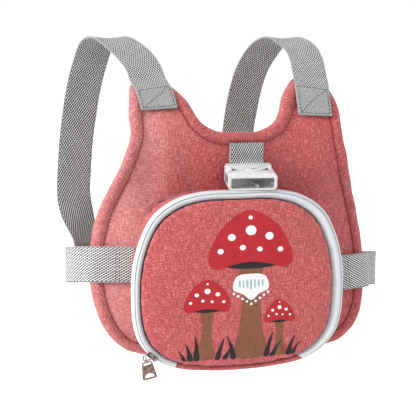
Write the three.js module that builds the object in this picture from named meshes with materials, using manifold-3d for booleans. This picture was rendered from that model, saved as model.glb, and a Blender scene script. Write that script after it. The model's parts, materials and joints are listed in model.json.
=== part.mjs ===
// Toddler harness backpack: a padded vest-shaped back panel with webbing straps, a zipped pouch and
// a leash buckle. Millimetres, +Z up. X runs along the panel's width, and Y runs from the pouch
// through the panel to the wearer's chest.
import * as THREE from 'three';
import { mergeVertices } from 'three/addons/utils/BufferGeometryUtils.js';
import Module from 'manifold-3d';

const wasm = await Module();
wasm.setup();

// Driving dimensions
const GAP = 0.3; // clearance between pieces that touch
const SOFT_GAP = 0.8; // clearance between layers of cloth and webbing on the bent panel
const PANEL = { width: 242, height: 233.5, thickness: 5, wrap: 27, lean: 30, sag: 5 };
const BINDING = { width: 8.5, thickness: 1 };
const WEBBING = { width: 30, thickness: 1.6 };
const SHOULDER = { root: 66, leftSewn: 24, rightSewn: 31, rise: 32.5 };
const SIDE = { leftUp: 82, rightUp: 66 };
const LOOP = { depth: 116, shift: -40, spacing: 69, up: 57 };
const POUCH = { width: 178, height: 147, depth: 30, up: -1, shift: -8, wall: 2 };
const SEAM = { width: 168, top: 143 }; // where the pouch is sewn to the panel
const BAND = { roll: 8, left: 7, right: 11, top: 7, bottom: 5, thickness: 1 };
const FRONT = { thickness: 5, bulge: 3.5 };
const COIL = { width: 1.1, thickness: 0.6 };
const CHEST = { length: 50, height: 38, thickness: 12, pocket: 9 };
const LEASH = {
  shift: 4.5, pitch: 10, yaw: 7, width: 39.6, height: 13.6, length: 28, neck: 8, neckHeight: 6.6,
  corner: 3.4, floor: 1.7, side: 2.4, mouth: 8.4, depth: 15, bar: 3, slot: 4.4, window: 8,
};
const SLIDER = {
  place: 0.834, length: 9, width: 5, thickness: 1.6, wire: 1.1, bail: 4, rise: 4, reach: 2.6,
  aside: -4, ahead: -1.5,
};
const PULL = {
  height: 18.5, top: 8.3, bottom: 10.8, thickness: 1.2, tilt: 11, ring: 1.3, wire: 0.9, rim: 1.1,
  upper: 3.6, lower: 4.2,
};

// The zip round the pouch's outline from its bottom middle, and its tapes across the band
const TAPES = { from: 0.121, to: 0.877, outer: 0.4, split: 0.44, inner: 0.48 };

const CLOTH = { color: 0xcd5f60, roughness: 0.95 };
const GREY_WEBBING = { color: 0x9a9a9c, roughness: 0.9 };
const GREY_TAPE = { color: 0xdde0e2, roughness: 0.8 };
const WHITE_PLASTIC = { color: 0xe9e9ea, roughness: 0.4 };
const ZIP_METAL = { color: 0x8c7c74, roughness: 0.35, metalness: 0.9 };

// Half of the panel's outline, from the middle of the neckline round to the middle of the bottom,
// as shares of the panel's half width and height
const PANEL_OUTLINE = [
  { across: 0, up: 0.814 },
  { across: 0.16, up: 0.819 },
  { across: 0.272, up: 0.855 },
  { across: 0.35, up: 0.928 },
  { across: 0.45, up: 0.98 },
  { across: 0.565, up: 1 },
  { across: 0.69, up: 0.972 },
  { across: 0.737, up: 0.895 },
  { across: 0.744, up: 0.808 },
  { across: 0.818, up: 0.682 },
  { across: 0.945, up: 0.51 },
  { across: 1, up: 0.338 },
  { across: 0.962, up: 0.176 },
  { across: 0.83, up: 0.068 },
  { across: 0.5, up: 0.014 },
  { across: 0, up: 0 },
];

// How far the panel's edges wrap back and its whole width leans, row by row up the panel
const PANEL_BEND = [
  { up: 0, wrap: 0.3, lean: 0 },
  { up: 0.125, wrap: 0.4, lean: 0 },
  { up: 0.25, wrap: 0.68, lean: 0 },
  { up: 0.35, wrap: 0.88, lean: 0 },
  { up: 0.45, wrap: 1, lean: 0 },
  { up: 0.53, wrap: 0.97, lean: 0 },
  { up: 0.61, wrap: 0.75, lean: -0.02 },
  { up: 0.69, wrap: 0.38, lean: -0.1 },
  { up: 0.77, wrap: 0.2, lean: -0.17 },
  { up: 0.83, wrap: 0.2, lean: -0.12 },
  { up: 0.89, wrap: 0.2, lean: 0.1 },
  { up: 0.95, wrap: 0.2, lean: 0.5 },
  { up: 1, wrap: 0.2, lean: 1.03 },
];

// Half of the pouch's outline, from the middle of the bottom round to the middle of the top,
// as shares of its half width and height
const POUCH_OUTLINE = [
  { across: 0, up: 0 },
  { across: 0.3, up: 0.007 },
  { across: 0.6, up: 0.035 },
  { across: 0.8, up: 0.095 },
  { across: 0.93, up: 0.185 },
  { across: 0.985, up: 0.29 },
  { across: 1, up: 0.45 },
  { across: 0.985, up: 0.6 },
  { across: 0.92, up: 0.745 },
  { across: 0.81, up: 0.87 },
  { across: 0.62, up: 0.955 },
  { across: 0.38, up: 0.995 },
  { across: 0, up: 1 },
];

// The zip band in section, from the gusset round to the pouch front: shares of the band's inset
// from the gusset's rim and of its roll forwards
const BAND_SECTION = [
  { across: 0, inset: 0, forward: 0 },
  { across: 0.2, inset: 0.06, forward: 0.35 },
  { across: 0.4, inset: 0.24, forward: 0.68 },
  { across: 0.6, inset: 0.5, forward: 0.84 },
  { across: 0.8, inset: 0.76, forward: 0.7 },
  { across: 1, inset: 1, forward: 0.4 },
];

// The shoulder straps over the shoulder: shares of the way back, of the rise above the panel, and
// of each strap's way sideways to the chest
const ARCH = [
  { back: 0.042, rise: 0.14, left: 0.11, right: -0.15 },
  { back: 0.154, rise: 0.44, left: 0.2, right: -0.19 },
  { back: 0.287, rise: 0.74, left: 0.37, right: -0.16 },
  { back: 0.443, rise: 0.96, left: 0.56, right: 0 },
  { back: 0.515, rise: 1, left: 0.67, right: 0.12 },
  { back: 0.588, rise: 0.96, left: 0.78, right: 0.26 },
  { back: 0.688, rise: 0.78, left: 0.86, right: 0.385 },
  { back: 0.777, rise: 0.43, left: 0.92, right: 0.556 },
  { back: 0.833, rise: 0.11, left: 0.98, right: 0.66 },
];
const CREST = ARCH[4];

// The shoulder straps down the chest, with shares of the way down to the chest strap
const FALL = [
  { back: 0.866, down: 0.05, left: 1.04, right: 0.75 },
  { back: 0.894, down: 0.12, left: 1.09, right: 0.81 },
  { back: 0.905, down: 0.19, left: 1.13, right: 0.867 },
  { back: 0.928, down: 0.3, left: 1.19, right: 0.93 },
  { back: 0.933, down: 0.45, left: 1.24, right: 0.95 },
  { back: 0.93, down: 0.62, left: 1.26, right: 0.95 },
];

// The side straps round the body: shares of the panel's half width, of the loop's depth, and of
// the change in height between the panel and the chest
const LEFT_SIDE = [
  { across: 1.055, back: 0.237, level: 0.04 },
  { across: 1.105, back: 0.3, level: 0.1 },
  { across: 1.128, back: 0.4, level: 0.18 },
  { across: 1.112, back: 0.517, level: 0.27 },
  { across: 1.066, back: 0.647, level: 0.38 },
  { across: 0.99, back: 0.776, level: 0.5 },
  { across: 0.876, back: 0.879, level: 0.6 },
  { across: 0.74, back: 0.95, level: 0.82 },
];
const RIGHT_SIDE = [
  { across: 1.06, back: 0.226, level: 0.08 },
  { across: 1.124, back: 0.276, level: 0.2 },
  { across: 1.161, back: 0.362, level: 0.42 },
  { across: 1.15, back: 0.483, level: 0.7 },
  { across: 1.083, back: 0.62, level: 0.92 },
  { across: 0.96, back: 0.75, level: 1 },
  { across: 0.785, back: 0.845, level: 1 },
  { across: 0.58, back: 0.914, level: 1 },
  { across: 0.35, back: 0.966, level: 1 },
  { across: 0.1, back: 0.992, level: 1 },
];

const EDGE_STEPS = 90; // points round the panel's outline
const halfPanel = PANEL.width / 2;
const facing = SOFT_GAP + BINDING.thickness; // the binding's outside over the panel's face
const onBinding = facing + SOFT_GAP + WEBBING.thickness / 2; // a strap's middle on the binding
const rad = THREE.MathUtils.degToRad;
const vec = (x, y, z) => new THREE.Vector3(x, y, z);

// Value of one column of a table at a place between its rows, on a smooth curve through them
function smooth(rows, place, at, column) {
  const last = rows.length - 1;
  let k = 0;
  while (k < last - 1 && at > rows[k + 1][place]) k += 1;
  const slope = (i) => {
    const below = rows[Math.max(i - 1, 0)];
    const above = rows[Math.min(i + 1, last)];
    return (above[column] - below[column]) / (above[place] - below[place]);
  };
  const span = rows[k + 1][place] - rows[k][place];
  const t = (at - rows[k][place]) / span;
  const hold = (1 + 2 * t) * (1 - t) ** 2 * rows[k][column] + t * t * (3 - 2 * t) * rows[k + 1][column];
  return hold + (t * (1 - t) ** 2 * slope(k) - t * t * (1 - t) * slope(k + 1)) * span;
}

// Closed curve from one half of an outline and its mirror image
function mirrored(rows) {
  const half = rows.map((row) => vec(row.across, row.up, 0));
  const other = half.slice(1, -1).reverse().map((p) => vec(-p.x, p.y, 0));
  return new THREE.CatmullRomCurve3([...half, ...other], true, 'centripetal');
}

// Solid between two sheets of points. Each sheet gives a point for its two shares, along and
// across. closed joins the far end of along to its start, pole shrinks the far side to a point.
function solidBetween(outer, inner, { along, across, closed = false, pole = false }) {
  const columns = closed ? along : along + 1;
  const rings = pole ? across : across + 1;
  const positions = [];
  const index = [];
  const sheet = (point) => {
    const first = positions.length / 3;
    for (let j = 0; j < rings; j += 1) {
      for (let i = 0; i < columns; i += 1) positions.push(...point(i / along, j / across));
    }
    if (pole) positions.push(...point(0, 1));
    return (i, j) => first + (pole && j === across ? rings * columns : j * columns + (i % columns));
  };
  const quad = (a, b, c, d) => {
    index.push(a, b, c);
    if (c !== d) index.push(a, c, d);
  };
  const top = sheet(outer);
  const under = sheet(inner);
  for (let j = 0; j < across; j += 1) {
    for (let i = 0; i < along; i += 1) {
      const tip = pole && j === across - 1;
      quad(top(i, j), top(i + 1, j), top(i + 1, j + 1), tip ? top(i + 1, j + 1) : top(i, j + 1));
      quad(under(i + 1, j), under(i, j), under(i, j + 1), tip ? under(i, j + 1) : under(i + 1, j + 1));
    }
  }
  for (let i = 0; i < along; i += 1) {
    quad(top(i + 1, 0), top(i, 0), under(i, 0), under(i + 1, 0));
    if (!pole) quad(top(i, across), top(i + 1, across), under(i + 1, across), under(i, across));
  }
  for (let j = 0; !closed && j < across; j += 1) {
    quad(top(0, j), top(0, j + 1), under(0, j + 1), under(0, j));
    quad(top(along, j + 1), top(along, j), under(along, j), under(along, j + 1));
  }
  const geometry = new THREE.BufferGeometry();
  geometry.setAttribute('position', new THREE.Float32BufferAttribute(positions, 3));
  geometry.setIndex(index);
  return facingOut(geometry);
}

// The same closed mesh with its faces pointing out
function facingOut(geometry) {
  const p = geometry.getAttribute('position');
  const index = geometry.getIndex();
  const corner = (i) => vec(0, 0, 0).fromBufferAttribute(p, index.getX(i));
  let volume = 0;
  for (let i = 0; i < index.count; i += 3) {
    volume += corner(i).dot(corner(i + 1).cross(corner(i + 2)));
  }
  if (volume < 0) {
    for (let i = 0; i < index.count; i += 3) {
      const first = index.getX(i);
      index.setX(i, index.getX(i + 1));
      index.setX(i + 1, first);
    }
  }
  return geometry;
}

// A closed three.js mesh as a solid for cutting and joining, and back
function toSolid(geometry) {
  const bare = geometry.clone();
  bare.deleteAttribute('normal');
  bare.deleteAttribute('uv');
  const merged = mergeVertices(bare, 1e-4);
  return new wasm.Manifold(new wasm.Mesh({
    numProp: 3,
    vertProperties: new Float32Array(merged.getAttribute('position').array),
    triVerts: new Uint32Array(merged.getIndex().array),
  }));
}

function fromSolid(solid) {
  const mesh = solid.getMesh();
  const geometry = new THREE.BufferGeometry();
  geometry.setAttribute('position', new THREE.BufferAttribute(mesh.vertProperties, 3));
  geometry.setIndex(new THREE.BufferAttribute(mesh.triVerts, 1));
  return geometry;
}

function named(name, geometry, finish) {
  geometry.computeVertexNormals();
  const mesh = new THREE.Mesh(geometry, new THREE.MeshStandardMaterial({ metalness: 0, ...finish }));
  mesh.name = name;
  return mesh;
}

// Depth of the panel's face, and a point at a height off the face, towards the pouch
function panelDepth(x, z) {
  const up = z / PANEL.height;
  const wrap = PANEL.wrap * smooth(PANEL_BEND, 'up', up, 'wrap') * (x / halfPanel) ** 2;
  return wrap + PANEL.lean * smooth(PANEL_BEND, 'up', up, 'lean');
}

function onFace(x, z, height) {
  const step = 0.5;
  const sideways = (panelDepth(x + step, z) - panelDepth(x - step, z)) / (2 * step);
  const upwards = (panelDepth(x, z + step) - panelDepth(x, z - step)) / (2 * step);
  const slant = Math.hypot(1, sideways, upwards);
  return vec(x, panelDepth(x, z) - height * slant, z);
}

// Point of the panel's outline, moved in from the edge. The lower corner on the right hangs lower.
const panelCurve = mirrored(PANEL_OUTLINE);

function panelEdge(share, inset) {
  const at = (round) => {
    const place = panelCurve.getPointAt((round + 1) % 1);
    const corner = Math.max(place.x, 0) ** 2 * Math.max(1 - 3 * place.y, 0);
    return new THREE.Vector2(place.x * halfPanel, place.y * PANEL.height - PANEL.sag * corner);
  };
  const step = 1e-3;
  const run = at(share + step).sub(at(share - step)).normalize();
  return at(share).add(new THREE.Vector2(run.y, -run.x).multiplyScalar(inset));
}

// Padded panel: a bent slab cut to the outline, inside the binding
function backPanel() {
  const margin = 4;
  const closer = 1.35; // rows lie closer together where the lobes bend back
  const sheet = (height) => (a, b) => onFace(
    (2 * a - 1) * (halfPanel + margin),
    -margin + (1 - (1 - b) ** closer) * (PANEL.height + 2 * margin),
    height,
  );
  const slab = solidBetween(sheet(0), sheet(-PANEL.thickness), { along: 14, across: 36 });
  const inset = BINDING.thickness + GAP;
  const corners = Array.from({ length: EDGE_STEPS }, (_, i) => panelEdge(i / EDGE_STEPS, inset));
  const reach = PANEL.wrap + PANEL.lean + PANEL.thickness;
  const cutter = new THREE.ExtrudeGeometry(new THREE.Shape(corners), {
    depth: 4 * reach, bevelEnabled: false,
  });
  cutter.rotateX(Math.PI / 2).translate(0, 2 * reach, 0);
  return fromSolid(toSolid(slab).intersect(toSolid(cutter)));
}

// Binding folded over the panel's edge: a U in section, swept round the outline
function edgeBinding() {
  const { width, thickness } = BINDING;
  const back = -PANEL.thickness - facing;
  const middle = width / 2;
  const section = [
    { inset: width, height: facing },
    { inset: middle, height: facing },
    { inset: thickness, height: facing },
    { inset: 0, height: facing - thickness },
    { inset: 0, height: back + thickness },
    { inset: thickness, height: back },
    { inset: middle, height: back },
    { inset: width, height: back },
    { inset: width, height: back + thickness },
    { inset: middle, height: back + thickness },
    { inset: thickness, height: back + thickness },
    { inset: thickness, height: SOFT_GAP },
    { inset: middle, height: SOFT_GAP },
    { inset: width, height: SOFT_GAP },
  ];
  const positions = [];
  const index = [];
  for (let i = 0; i < EDGE_STEPS; i += 1) {
    for (const { inset, height } of section) {
      const edge = panelEdge(i / EDGE_STEPS, inset);
      positions.push(...onFace(edge.x, edge.y, height));
    }
  }
  const at = (i, j) => (i % EDGE_STEPS) * section.length + (j % section.length);
  for (let i = 0; i < EDGE_STEPS; i += 1) {
    for (let j = 0; j < section.length; j += 1) {
      index.push(at(i, j), at(i + 1, j), at(i + 1, j + 1), at(i, j), at(i + 1, j + 1), at(i, j + 1));
    }
  }
  const geometry = new THREE.BufferGeometry();
  geometry.setAttribute('position', new THREE.Float32BufferAttribute(positions, 3));
  geometry.setIndex(index);
  return facingOut(geometry);
}

// Webbing along rows of { at, side }: side is the direction across the webbing
function webbing(rows, steps) {
  const middle = new THREE.CatmullRomCurve3(rows.map((row) => row.at), false, 'centripetal');
  const sides = new THREE.CatmullRomCurve3(rows.map((row) => row.side), false, 'centripetal');
  const sheet = (height) => (a, b) => {
    const run = middle.getTangent(a);
    const side = sides.getPoint(a);
    side.addScaledVector(run, -side.dot(run)).normalize();
    const off = vec(0, 0, 0).crossVectors(run, side);
    return middle.getPoint(a).addScaledVector(side, (b - 0.5) * WEBBING.width).addScaledVector(off, height);
  };
  const half = WEBBING.thickness / 2;
  return solidBetween(sheet(half), sheet(-half), { along: steps, across: 1 });
}

// Row of a strap that lies on the panel, resting on the face with both its edges
function faceRow(x, z, across, height) {
  const half = across.clone().multiplyScalar(WEBBING.width / 2);
  const ends = [-1, 1].map((hand) => onFace(x + hand * half.x, z + hand * half.z, height));
  return { at: ends[0].clone().lerp(ends[1], 0.5), side: ends[1].sub(ends[0]).normalize() };
}

// Side strap: sewn to the panel beside the pouch, then round the body to the chest buckle
function sideStrapRows(hand, rows, up) {
  const clear = gussetPoint(hand < 0 ? 0.25 : 0.75, onBinding / POUCH.depth, 0);
  const start = Math.abs(clear.x) + WEBBING.thickness + 2 * GAP;
  const sewn = [0, 0.25, 0.5, 0.75, 1].map((share) => {
    const x = hand * (start + (halfPanel - start) * share);
    return faceRow(x, up, vec(0, 0, 1), onBinding);
  });
  const free = rows.map(({ across, back, level }) => ({
    at: vec(hand * across * halfPanel, back * LOOP.depth, up + level * (LOOP.up - up)),
    side: vec(0, 0, 1),
  }));
  const end = LOOP.shift + hand * (CHEST.length / 2 - CHEST.pocket + GAP);
  const entry = end + hand * CHEST.pocket * 2;
  const last = [entry, end].map((x) => ({ at: vec(x, LOOP.depth, LOOP.up), side: vec(0, 0, 1) }));
  return [...sewn, ...free, ...last];
}

// Shoulder strap: sewn to the panel's lobe, over the shoulder and down to the side strap
function shoulderStrapRows(hand, column, length, sideRows) {
  const root = hand * SHOULDER.root;
  const lap = LOOP.shift + hand * LOOP.spacing;
  const lobe = onFace(root, PANEL.height, onBinding);
  const sideways = (row) => root + (lap - root) * row[column];
  const backwards = (row) => lobe.y + (LOOP.depth - lobe.y) * row.back;
  const across = vec(1, 0, 0);
  const sewn = [1, 0.8, 0.6, 0.4, 0.2, 0].map((share) => {
    const x = sideways({ [column]: ARCH[0][column] * (1 - share) ** 2 });
    return faceRow(x, PANEL.height - length * share, across, onBinding);
  });
  const arch = ARCH.map((row) => ({
    at: vec(sideways(row), backwards(row), PANEL.height + SHOULDER.rise * row.rise), side: across,
  }));
  const fall = FALL.map((row) => ({
    at: vec(sideways(row), backwards(row), PANEL.height + (LOOP.up - PANEL.height) * row.down),
    side: across,
  }));

  // The lower end lies flat on the side strap's outside
  const loop = new THREE.CatmullRomCurve3(sideRows.map((row) => row.at), false, 'centripetal');
  let share = 1;
  while (hand * (loop.getPoint(share).x - lap) < 0) share -= 0.002;
  const place = loop.getPoint(share);
  const run = loop.getTangent(share).multiplyScalar(-hand);
  const out = vec(-run.y, run.x, 0).multiplyScalar(Math.sign(run.x));
  const lift = WEBBING.thickness + 2 * SOFT_GAP;
  const ends = [0.65, 0.3, 0, -0.4].map((drop) => ({
    at: vec(place.x + out.x * lift, place.y + out.y * lift, place.z + drop * WEBBING.width),
    side: run,
  }));
  return [...sewn, ...arch, ...fall, ...ends];
}

// Hidden clasp between the side straps' ends, which seat in its pockets
function chestBuckle() {
  const { length, height, thickness, pocket } = CHEST;
  const body = new THREE.BoxGeometry(length, thickness, height);
  let solid = toSolid(body);
  for (const hand of [-1, 1]) {
    const room = new THREE.BoxGeometry(pocket * 2, WEBBING.thickness + 4 * GAP, WEBBING.width + 4 * GAP);
    solid = solid.subtract(toSolid(room.translate(hand * length / 2, 0, 0)));
  }
  return fromSolid(solid).translate(LOOP.shift, LOOP.depth, LOOP.up);
}

// Point of the pouch's outline at a share of the way round, between the gusset's rim and the
// front's edge, at a distance in front of the panel's middle
const pouchCurve = mirrored(POUCH_OUTLINE);

function pouchPoint(share, inset, forward) {
  const place = pouchCurve.getPointAt((share + 1) % 1);
  const left = POUCH.shift - POUCH.width / 2 + BAND.left * inset;
  const right = POUCH.shift + POUCH.width / 2 - BAND.right * inset;
  const bottom = POUCH.up + BAND.bottom * inset;
  const top = POUCH.up + POUCH.height - BAND.top * inset;
  return vec(
    THREE.MathUtils.lerp(left, right, (1 + place.x) / 2),
    -forward,
    THREE.MathUtils.lerp(bottom, top, place.y),
  );
}

// Point of the gusset's wall from its seam on the panel (0) to its rim (1), moved in by a depth
function gussetPoint(share, forward, inset) {
  const place = pouchCurve.getPointAt((share + 1) % 1);
  const seamBottom = BINDING.width + 2 * GAP;
  const seam = vec(
    place.x * (SEAM.width / 2 - inset),
    0,
    THREE.MathUtils.lerp(seamBottom + inset, SEAM.top - inset, place.y),
  );
  const foot = onFace(seam.x, seam.z, GAP);
  const rim = pouchPoint(share, 0, POUCH.depth);
  const middle = vec(POUCH.shift, rim.y, POUCH.up + POUCH.height / 2);
  const shrink = 1 - inset / (POUCH.height / 2);
  rim.sub(middle).multiplyScalar(shrink).add(middle);
  return foot.lerp(rim, forward);
}

function pouchGusset() {
  const wall = (inset) => (a, b) => gussetPoint(a, b, inset);
  return solidBetween(wall(0), wall(POUCH.wall), { along: 52, across: 3, closed: true });
}

// Point on the zip band at a share across it, set in from its outer face by a depth
function bandPoint(share, across, depth) {
  const at = (place) => {
    const inset = smooth(BAND_SECTION, 'across', place, 'inset');
    const forward = smooth(BAND_SECTION, 'across', place, 'forward');
    return pouchPoint(share, inset, POUCH.depth + GAP + forward * BAND.roll);
  };
  const step = 0.01;
  const near = 0.002;
  const over = at(Math.min(across + step, 1)).sub(at(Math.max(across - step, 0)));
  const ahead = pouchPoint(share + near, 0, 0).sub(pouchPoint(share - near, 0, 0));
  const normal = ahead.cross(over).normalize();
  return at(across).addScaledVector(normal, -depth);
}

// A stretch of the band as a strip: shares round the outline and shares across the band
function bandStrip(from, to, steps, inner, outer) {
  const sheet = (depth) => (a, b) => bandPoint(from + (to - from) * a, inner + (outer - inner) * b, depth);
  return solidBetween(sheet(0), sheet(BAND.thickness), { along: steps, across: 3 });
}

// Padded pouch front, a shallow dish inside the zip band
function pouchFront() {
  const rim = POUCH.depth + GAP + BAND.roll;
  const bulge = (b) => FRONT.bulge * (1 - (1 - b) ** 3);
  const sheet = (inset, back) => (a, b) => {
    const edge = pouchPoint(a, 1 + inset / BAND.left, 0);
    const middle = pouchPoint(0, 1, 0).add(pouchPoint(0.5, 1, 0)).multiplyScalar(0.5);
    const point = edge.lerp(middle, b);
    point.y = -(rim + bulge(b) - back);
    return point;
  };
  return solidBetween(sheet(2 * GAP, 0), sheet(2 * GAP, FRONT.thickness), {
    along: 52, across: 4, closed: true, pole: true,
  });
}

// The zip's chain behind the gap between the two tapes
function zipCoil(from, to, across) {
  const sheet = (depth) => (a, b) => {
    const share = from + (to - from) * a;
    const width = COIL.width / (BAND.roll + BAND.left);
    return bandPoint(share, across + (b - 0.5) * width, BAND.thickness + 2 * GAP + depth);
  };
  return solidBetween(sheet(0), sheet(COIL.thickness), { along: 40, across: 1 });
}

// Rounded bar of a width and height, extruded forwards (to -Y) from one place to another
function roundedBlock(width, height, corner, from, to) {
  const x = width / 2 - corner;
  const z = height / 2 - corner;
  const shape = new THREE.Shape();
  shape.absarc(x, z, corner, 0, Math.PI / 2);
  shape.absarc(-x, z, corner, Math.PI / 2, Math.PI);
  shape.absarc(-x, -z, corner, Math.PI, 1.5 * Math.PI);
  shape.absarc(x, -z, corner, 1.5 * Math.PI, 2 * Math.PI);
  const block = new THREE.ExtrudeGeometry(shape, {
    depth: to - from, bevelEnabled: false, curveSegments: 3,
  });
  return block.rotateX(Math.PI / 2).translate(0, -from, 0);
}

// Frame of the leash buckle: its bar's middle, tilted mouth down, resting on the pouch's rim
function leashFrame() {
  const reach = POUCH.depth + GAP;
  const turn = new THREE.Euler(rad(LEASH.pitch), 0, -rad(LEASH.yaw), 'ZXY');
  const rim = POUCH.up + POUCH.height + GAP * 2;
  const tabFace = -panelDepth(0, rim);
  const barForward = tabFace + onBinding + WEBBING.thickness * 2 + LEASH.bar;
  const down = (reach - barForward) * Math.tan(rad(LEASH.pitch));
  const height = LEASH.height - LEASH.neckHeight / 2;
  const at = vec(LEASH.shift, -barForward, rim + down + height / Math.cos(rad(LEASH.pitch)));
  return new THREE.Matrix4().makeRotationFromEuler(turn).setPosition(at);
}

// Female half of a side-release buckle: a hollow mouth, two side windows and a bar for the tab
function leashBuckle() {
  const { width, height, length, neck, neckHeight, corner, floor, side, mouth, depth } = LEASH;
  const top = neckHeight / 2; // the neck's top lies level with the body's
  const middle = top - height / 2;
  const start = -LEASH.bar / 2;
  const body = roundedBlock(width, height, corner, start + neck, start + length);
  const stem = roundedBlock(width - 2, neckHeight, 1.2, start, start + neck + 1);
  const ends = [-1, 1].map((hand) => vec(hand * (width / 2 - side), 0, 0));
  const bar = rodBetween(...ends, LEASH.bar / 2);
  const room = roundedBlock(width - 2 * side, mouth, 1.6, start + length - depth, start + length + 1);
  const slotEnd = LEASH.bar + LEASH.slot;
  const slot = new THREE.BoxGeometry(WEBBING.width + 4 * GAP, 2 * slotEnd, height * 2);
  const windowAt = -(start + length - depth + LEASH.window / 2 + 1);
  const opening = new THREE.BoxGeometry(width * 2, LEASH.window, mouth - 2 * GAP);
  const notch = new THREE.BoxGeometry(side * 2, LEASH.window / 2, height);
  let solid = toSolid(body.translate(0, 0, middle)).add(toSolid(stem));
  solid = solid.subtract(toSolid(room.translate(0, 0, middle - height / 2 + floor + mouth / 2)));
  solid = solid.subtract(toSolid(slot.translate(0, -start, 0))).add(toSolid(bar));
  solid = solid.subtract(toSolid(opening.translate(0, windowAt, middle - height / 2 + floor + mouth / 2)));
  for (const hand of [-1, 1]) {
    const cut = notch.clone().translate(hand * (width / 2 - side), windowAt, middle + height / 2);
    solid = solid.subtract(toSolid(cut));
  }
  return fromSolid(solid).applyMatrix4(leashFrame());
}

// Tab: down the panel from the binding, round the buckle's bar and back up under itself
function leashTabRows() {
  const frame = leashFrame();
  const radius = LEASH.bar / 2 + 2 * GAP + WEBBING.thickness / 2;
  const neck = PANEL_OUTLINE[0].up * PANEL.height - BINDING.width - GAP;
  const bar = vec(0, 0, 0).applyMatrix4(frame);
  const low = bar.z + (neck - bar.z) * 0.35;
  const under = SOFT_GAP + WEBBING.thickness / 2;
  const over = under + WEBBING.thickness + SOFT_GAP;
  const across = vec(1, 0, 0);
  const layer = (height) => (share) => ({
    at: onFace(LEASH.shift, low + (neck - low) * share, height), side: across,
  });
  const turned = across.clone().transformDirection(frame);
  const round = [100, 45, 0, -45, -90, -150].map((angle) => ({
    at: vec(0, -radius * Math.cos(rad(angle)), radius * Math.sin(rad(angle))).applyMatrix4(frame),
    side: turned,
  }));
  return [...[1, 0.5, 0].map(layer(over)), ...round, ...[0, 0.5, 1].map(layer(under))];
}

// Frame of the zip slider: X along the zip, Z out from the band
function sliderFrame() {
  const step = 0.004;
  const across = TAPES.split;
  const place = bandPoint(SLIDER.place, across, -2 * GAP);
  const run = bandPoint(SLIDER.place + step, across, 0).sub(bandPoint(SLIDER.place - step, across, 0));
  const out = place.clone().sub(bandPoint(SLIDER.place, across, 0)).normalize();
  run.addScaledVector(out, -run.dot(out)).normalize();
  const side = vec(0, 0, 0).crossVectors(out, run);
  return new THREE.Matrix4().makeBasis(run, side, out).setPosition(place);
}

// Where the pull's ring turns round the bail: in front of the slider and beside it
function pullPivot() {
  const { ahead, aside, thickness, reach } = SLIDER;
  return vec(ahead, aside, thickness + reach).applyMatrix4(sliderFrame());
}

function rodBetween(from, to, radius) {
  const length = from.distanceTo(to);
  const rod = new THREE.CylinderGeometry(radius, radius, length, 8);
  const turn = new THREE.Quaternion().setFromUnitVectors(vec(0, 1, 0), to.clone().sub(from).normalize());
  return rod.applyQuaternion(turn).translate(...from.clone().add(to).multiplyScalar(0.5));
}

// Direction of the pull's hinge line, level with the ground apart from the pull's small tilt
const hinge = vec(Math.cos(rad(PULL.tilt)), 0, Math.sin(rad(PULL.tilt)));
const upwards = vec(-hinge.z, 0, hinge.x);

// Slider body on the tapes, with a C-shaped wire bail beside it that holds the pull's ring
function zipSlider() {
  const frame = sliderFrame();
  const { length, width, thickness, wire, bail, rise } = SLIDER;
  const seat = (share) => vec(share * length, 0, thickness / 2).applyMatrix4(frame);
  const body = new THREE.BoxGeometry(length, width, thickness).translate(0, 0, thickness / 2);
  const [near, far] = [1, -1].map((hand) => pullPivot().addScaledVector(hinge, hand * bail / 2));
  const route = [seat(0.18), near, far, far.clone().addScaledVector(upwards, rise), seat(-0.29)];
  let solid = toSolid(body.applyMatrix4(frame));
  for (let k = 1; k < route.length; k += 1) {
    solid = solid.add(toSolid(rodBetween(route[k - 1], route[k], wire / 2)));
  }
  return fromSolid(solid);
}

// Pull: a ring round the bail and a tapered plate with a hole at each end
function zipPull() {
  const { height, top, bottom, thickness, ring, wire, rim, upper, lower } = PULL;
  const start = -ring;
  const end = start - height;
  const plate = new THREE.Shape([
    [-top / 2 + rim, start], [top / 2 - rim, start], [top / 2, start - rim], [bottom / 2, end + rim],
    [bottom / 2 - rim, end], [-bottom / 2 + rim, end], [-bottom / 2, end + rim], [-top / 2, start - rim],
  ].map(([x, y]) => new THREE.Vector2(x, y)));
  const eye = top / 2 - rim;
  plate.holes.push(new THREE.Path([
    [-eye, start - rim], [-eye, start - rim - upper], [eye, start - rim - upper], [eye, start - rim],
  ].map(([x, y]) => new THREE.Vector2(x, y))));
  const arc = new THREE.EllipseCurve(0, end + 1.2 * rim, bottom / 2 - 1.5 * rim, lower, 0, Math.PI);
  plate.holes.push(new THREE.Path(arc.getPoints(8)));
  const options = { depth: thickness, bevelEnabled: false };
  const flat = new THREE.ExtrudeGeometry(plate, options).translate(0, 0, -thickness / 2);
  const loop = new THREE.TorusGeometry(ring + wire / 2, wire / 2, 6, 14).rotateY(Math.PI / 2);
  const pose = new THREE.Matrix4().makeBasis(hinge, upwards, vec(0, -1, 0)).setPosition(pullPivot());
  return fromSolid(toSolid(flat).add(toSolid(loop))).applyMatrix4(pose);
}

// The part's origin: midway between the undersides of the shoulder straps' crests
function shoulderLine() {
  const { root, rise } = SHOULDER;
  const crests = [[-1, CREST.left], [1, CREST.right]].map(([hand, share]) => (
    THREE.MathUtils.lerp(hand * root, LOOP.shift + hand * LOOP.spacing, share)
  ));
  const lobe = onFace(root, PANEL.height, onBinding).y;
  return vec(
    (crests[0] + crests[1]) / 2,
    THREE.MathUtils.lerp(lobe, LOOP.depth, CREST.back),
    PANEL.height + rise * CREST.rise - WEBBING.thickness / 2,
  );
}

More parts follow.
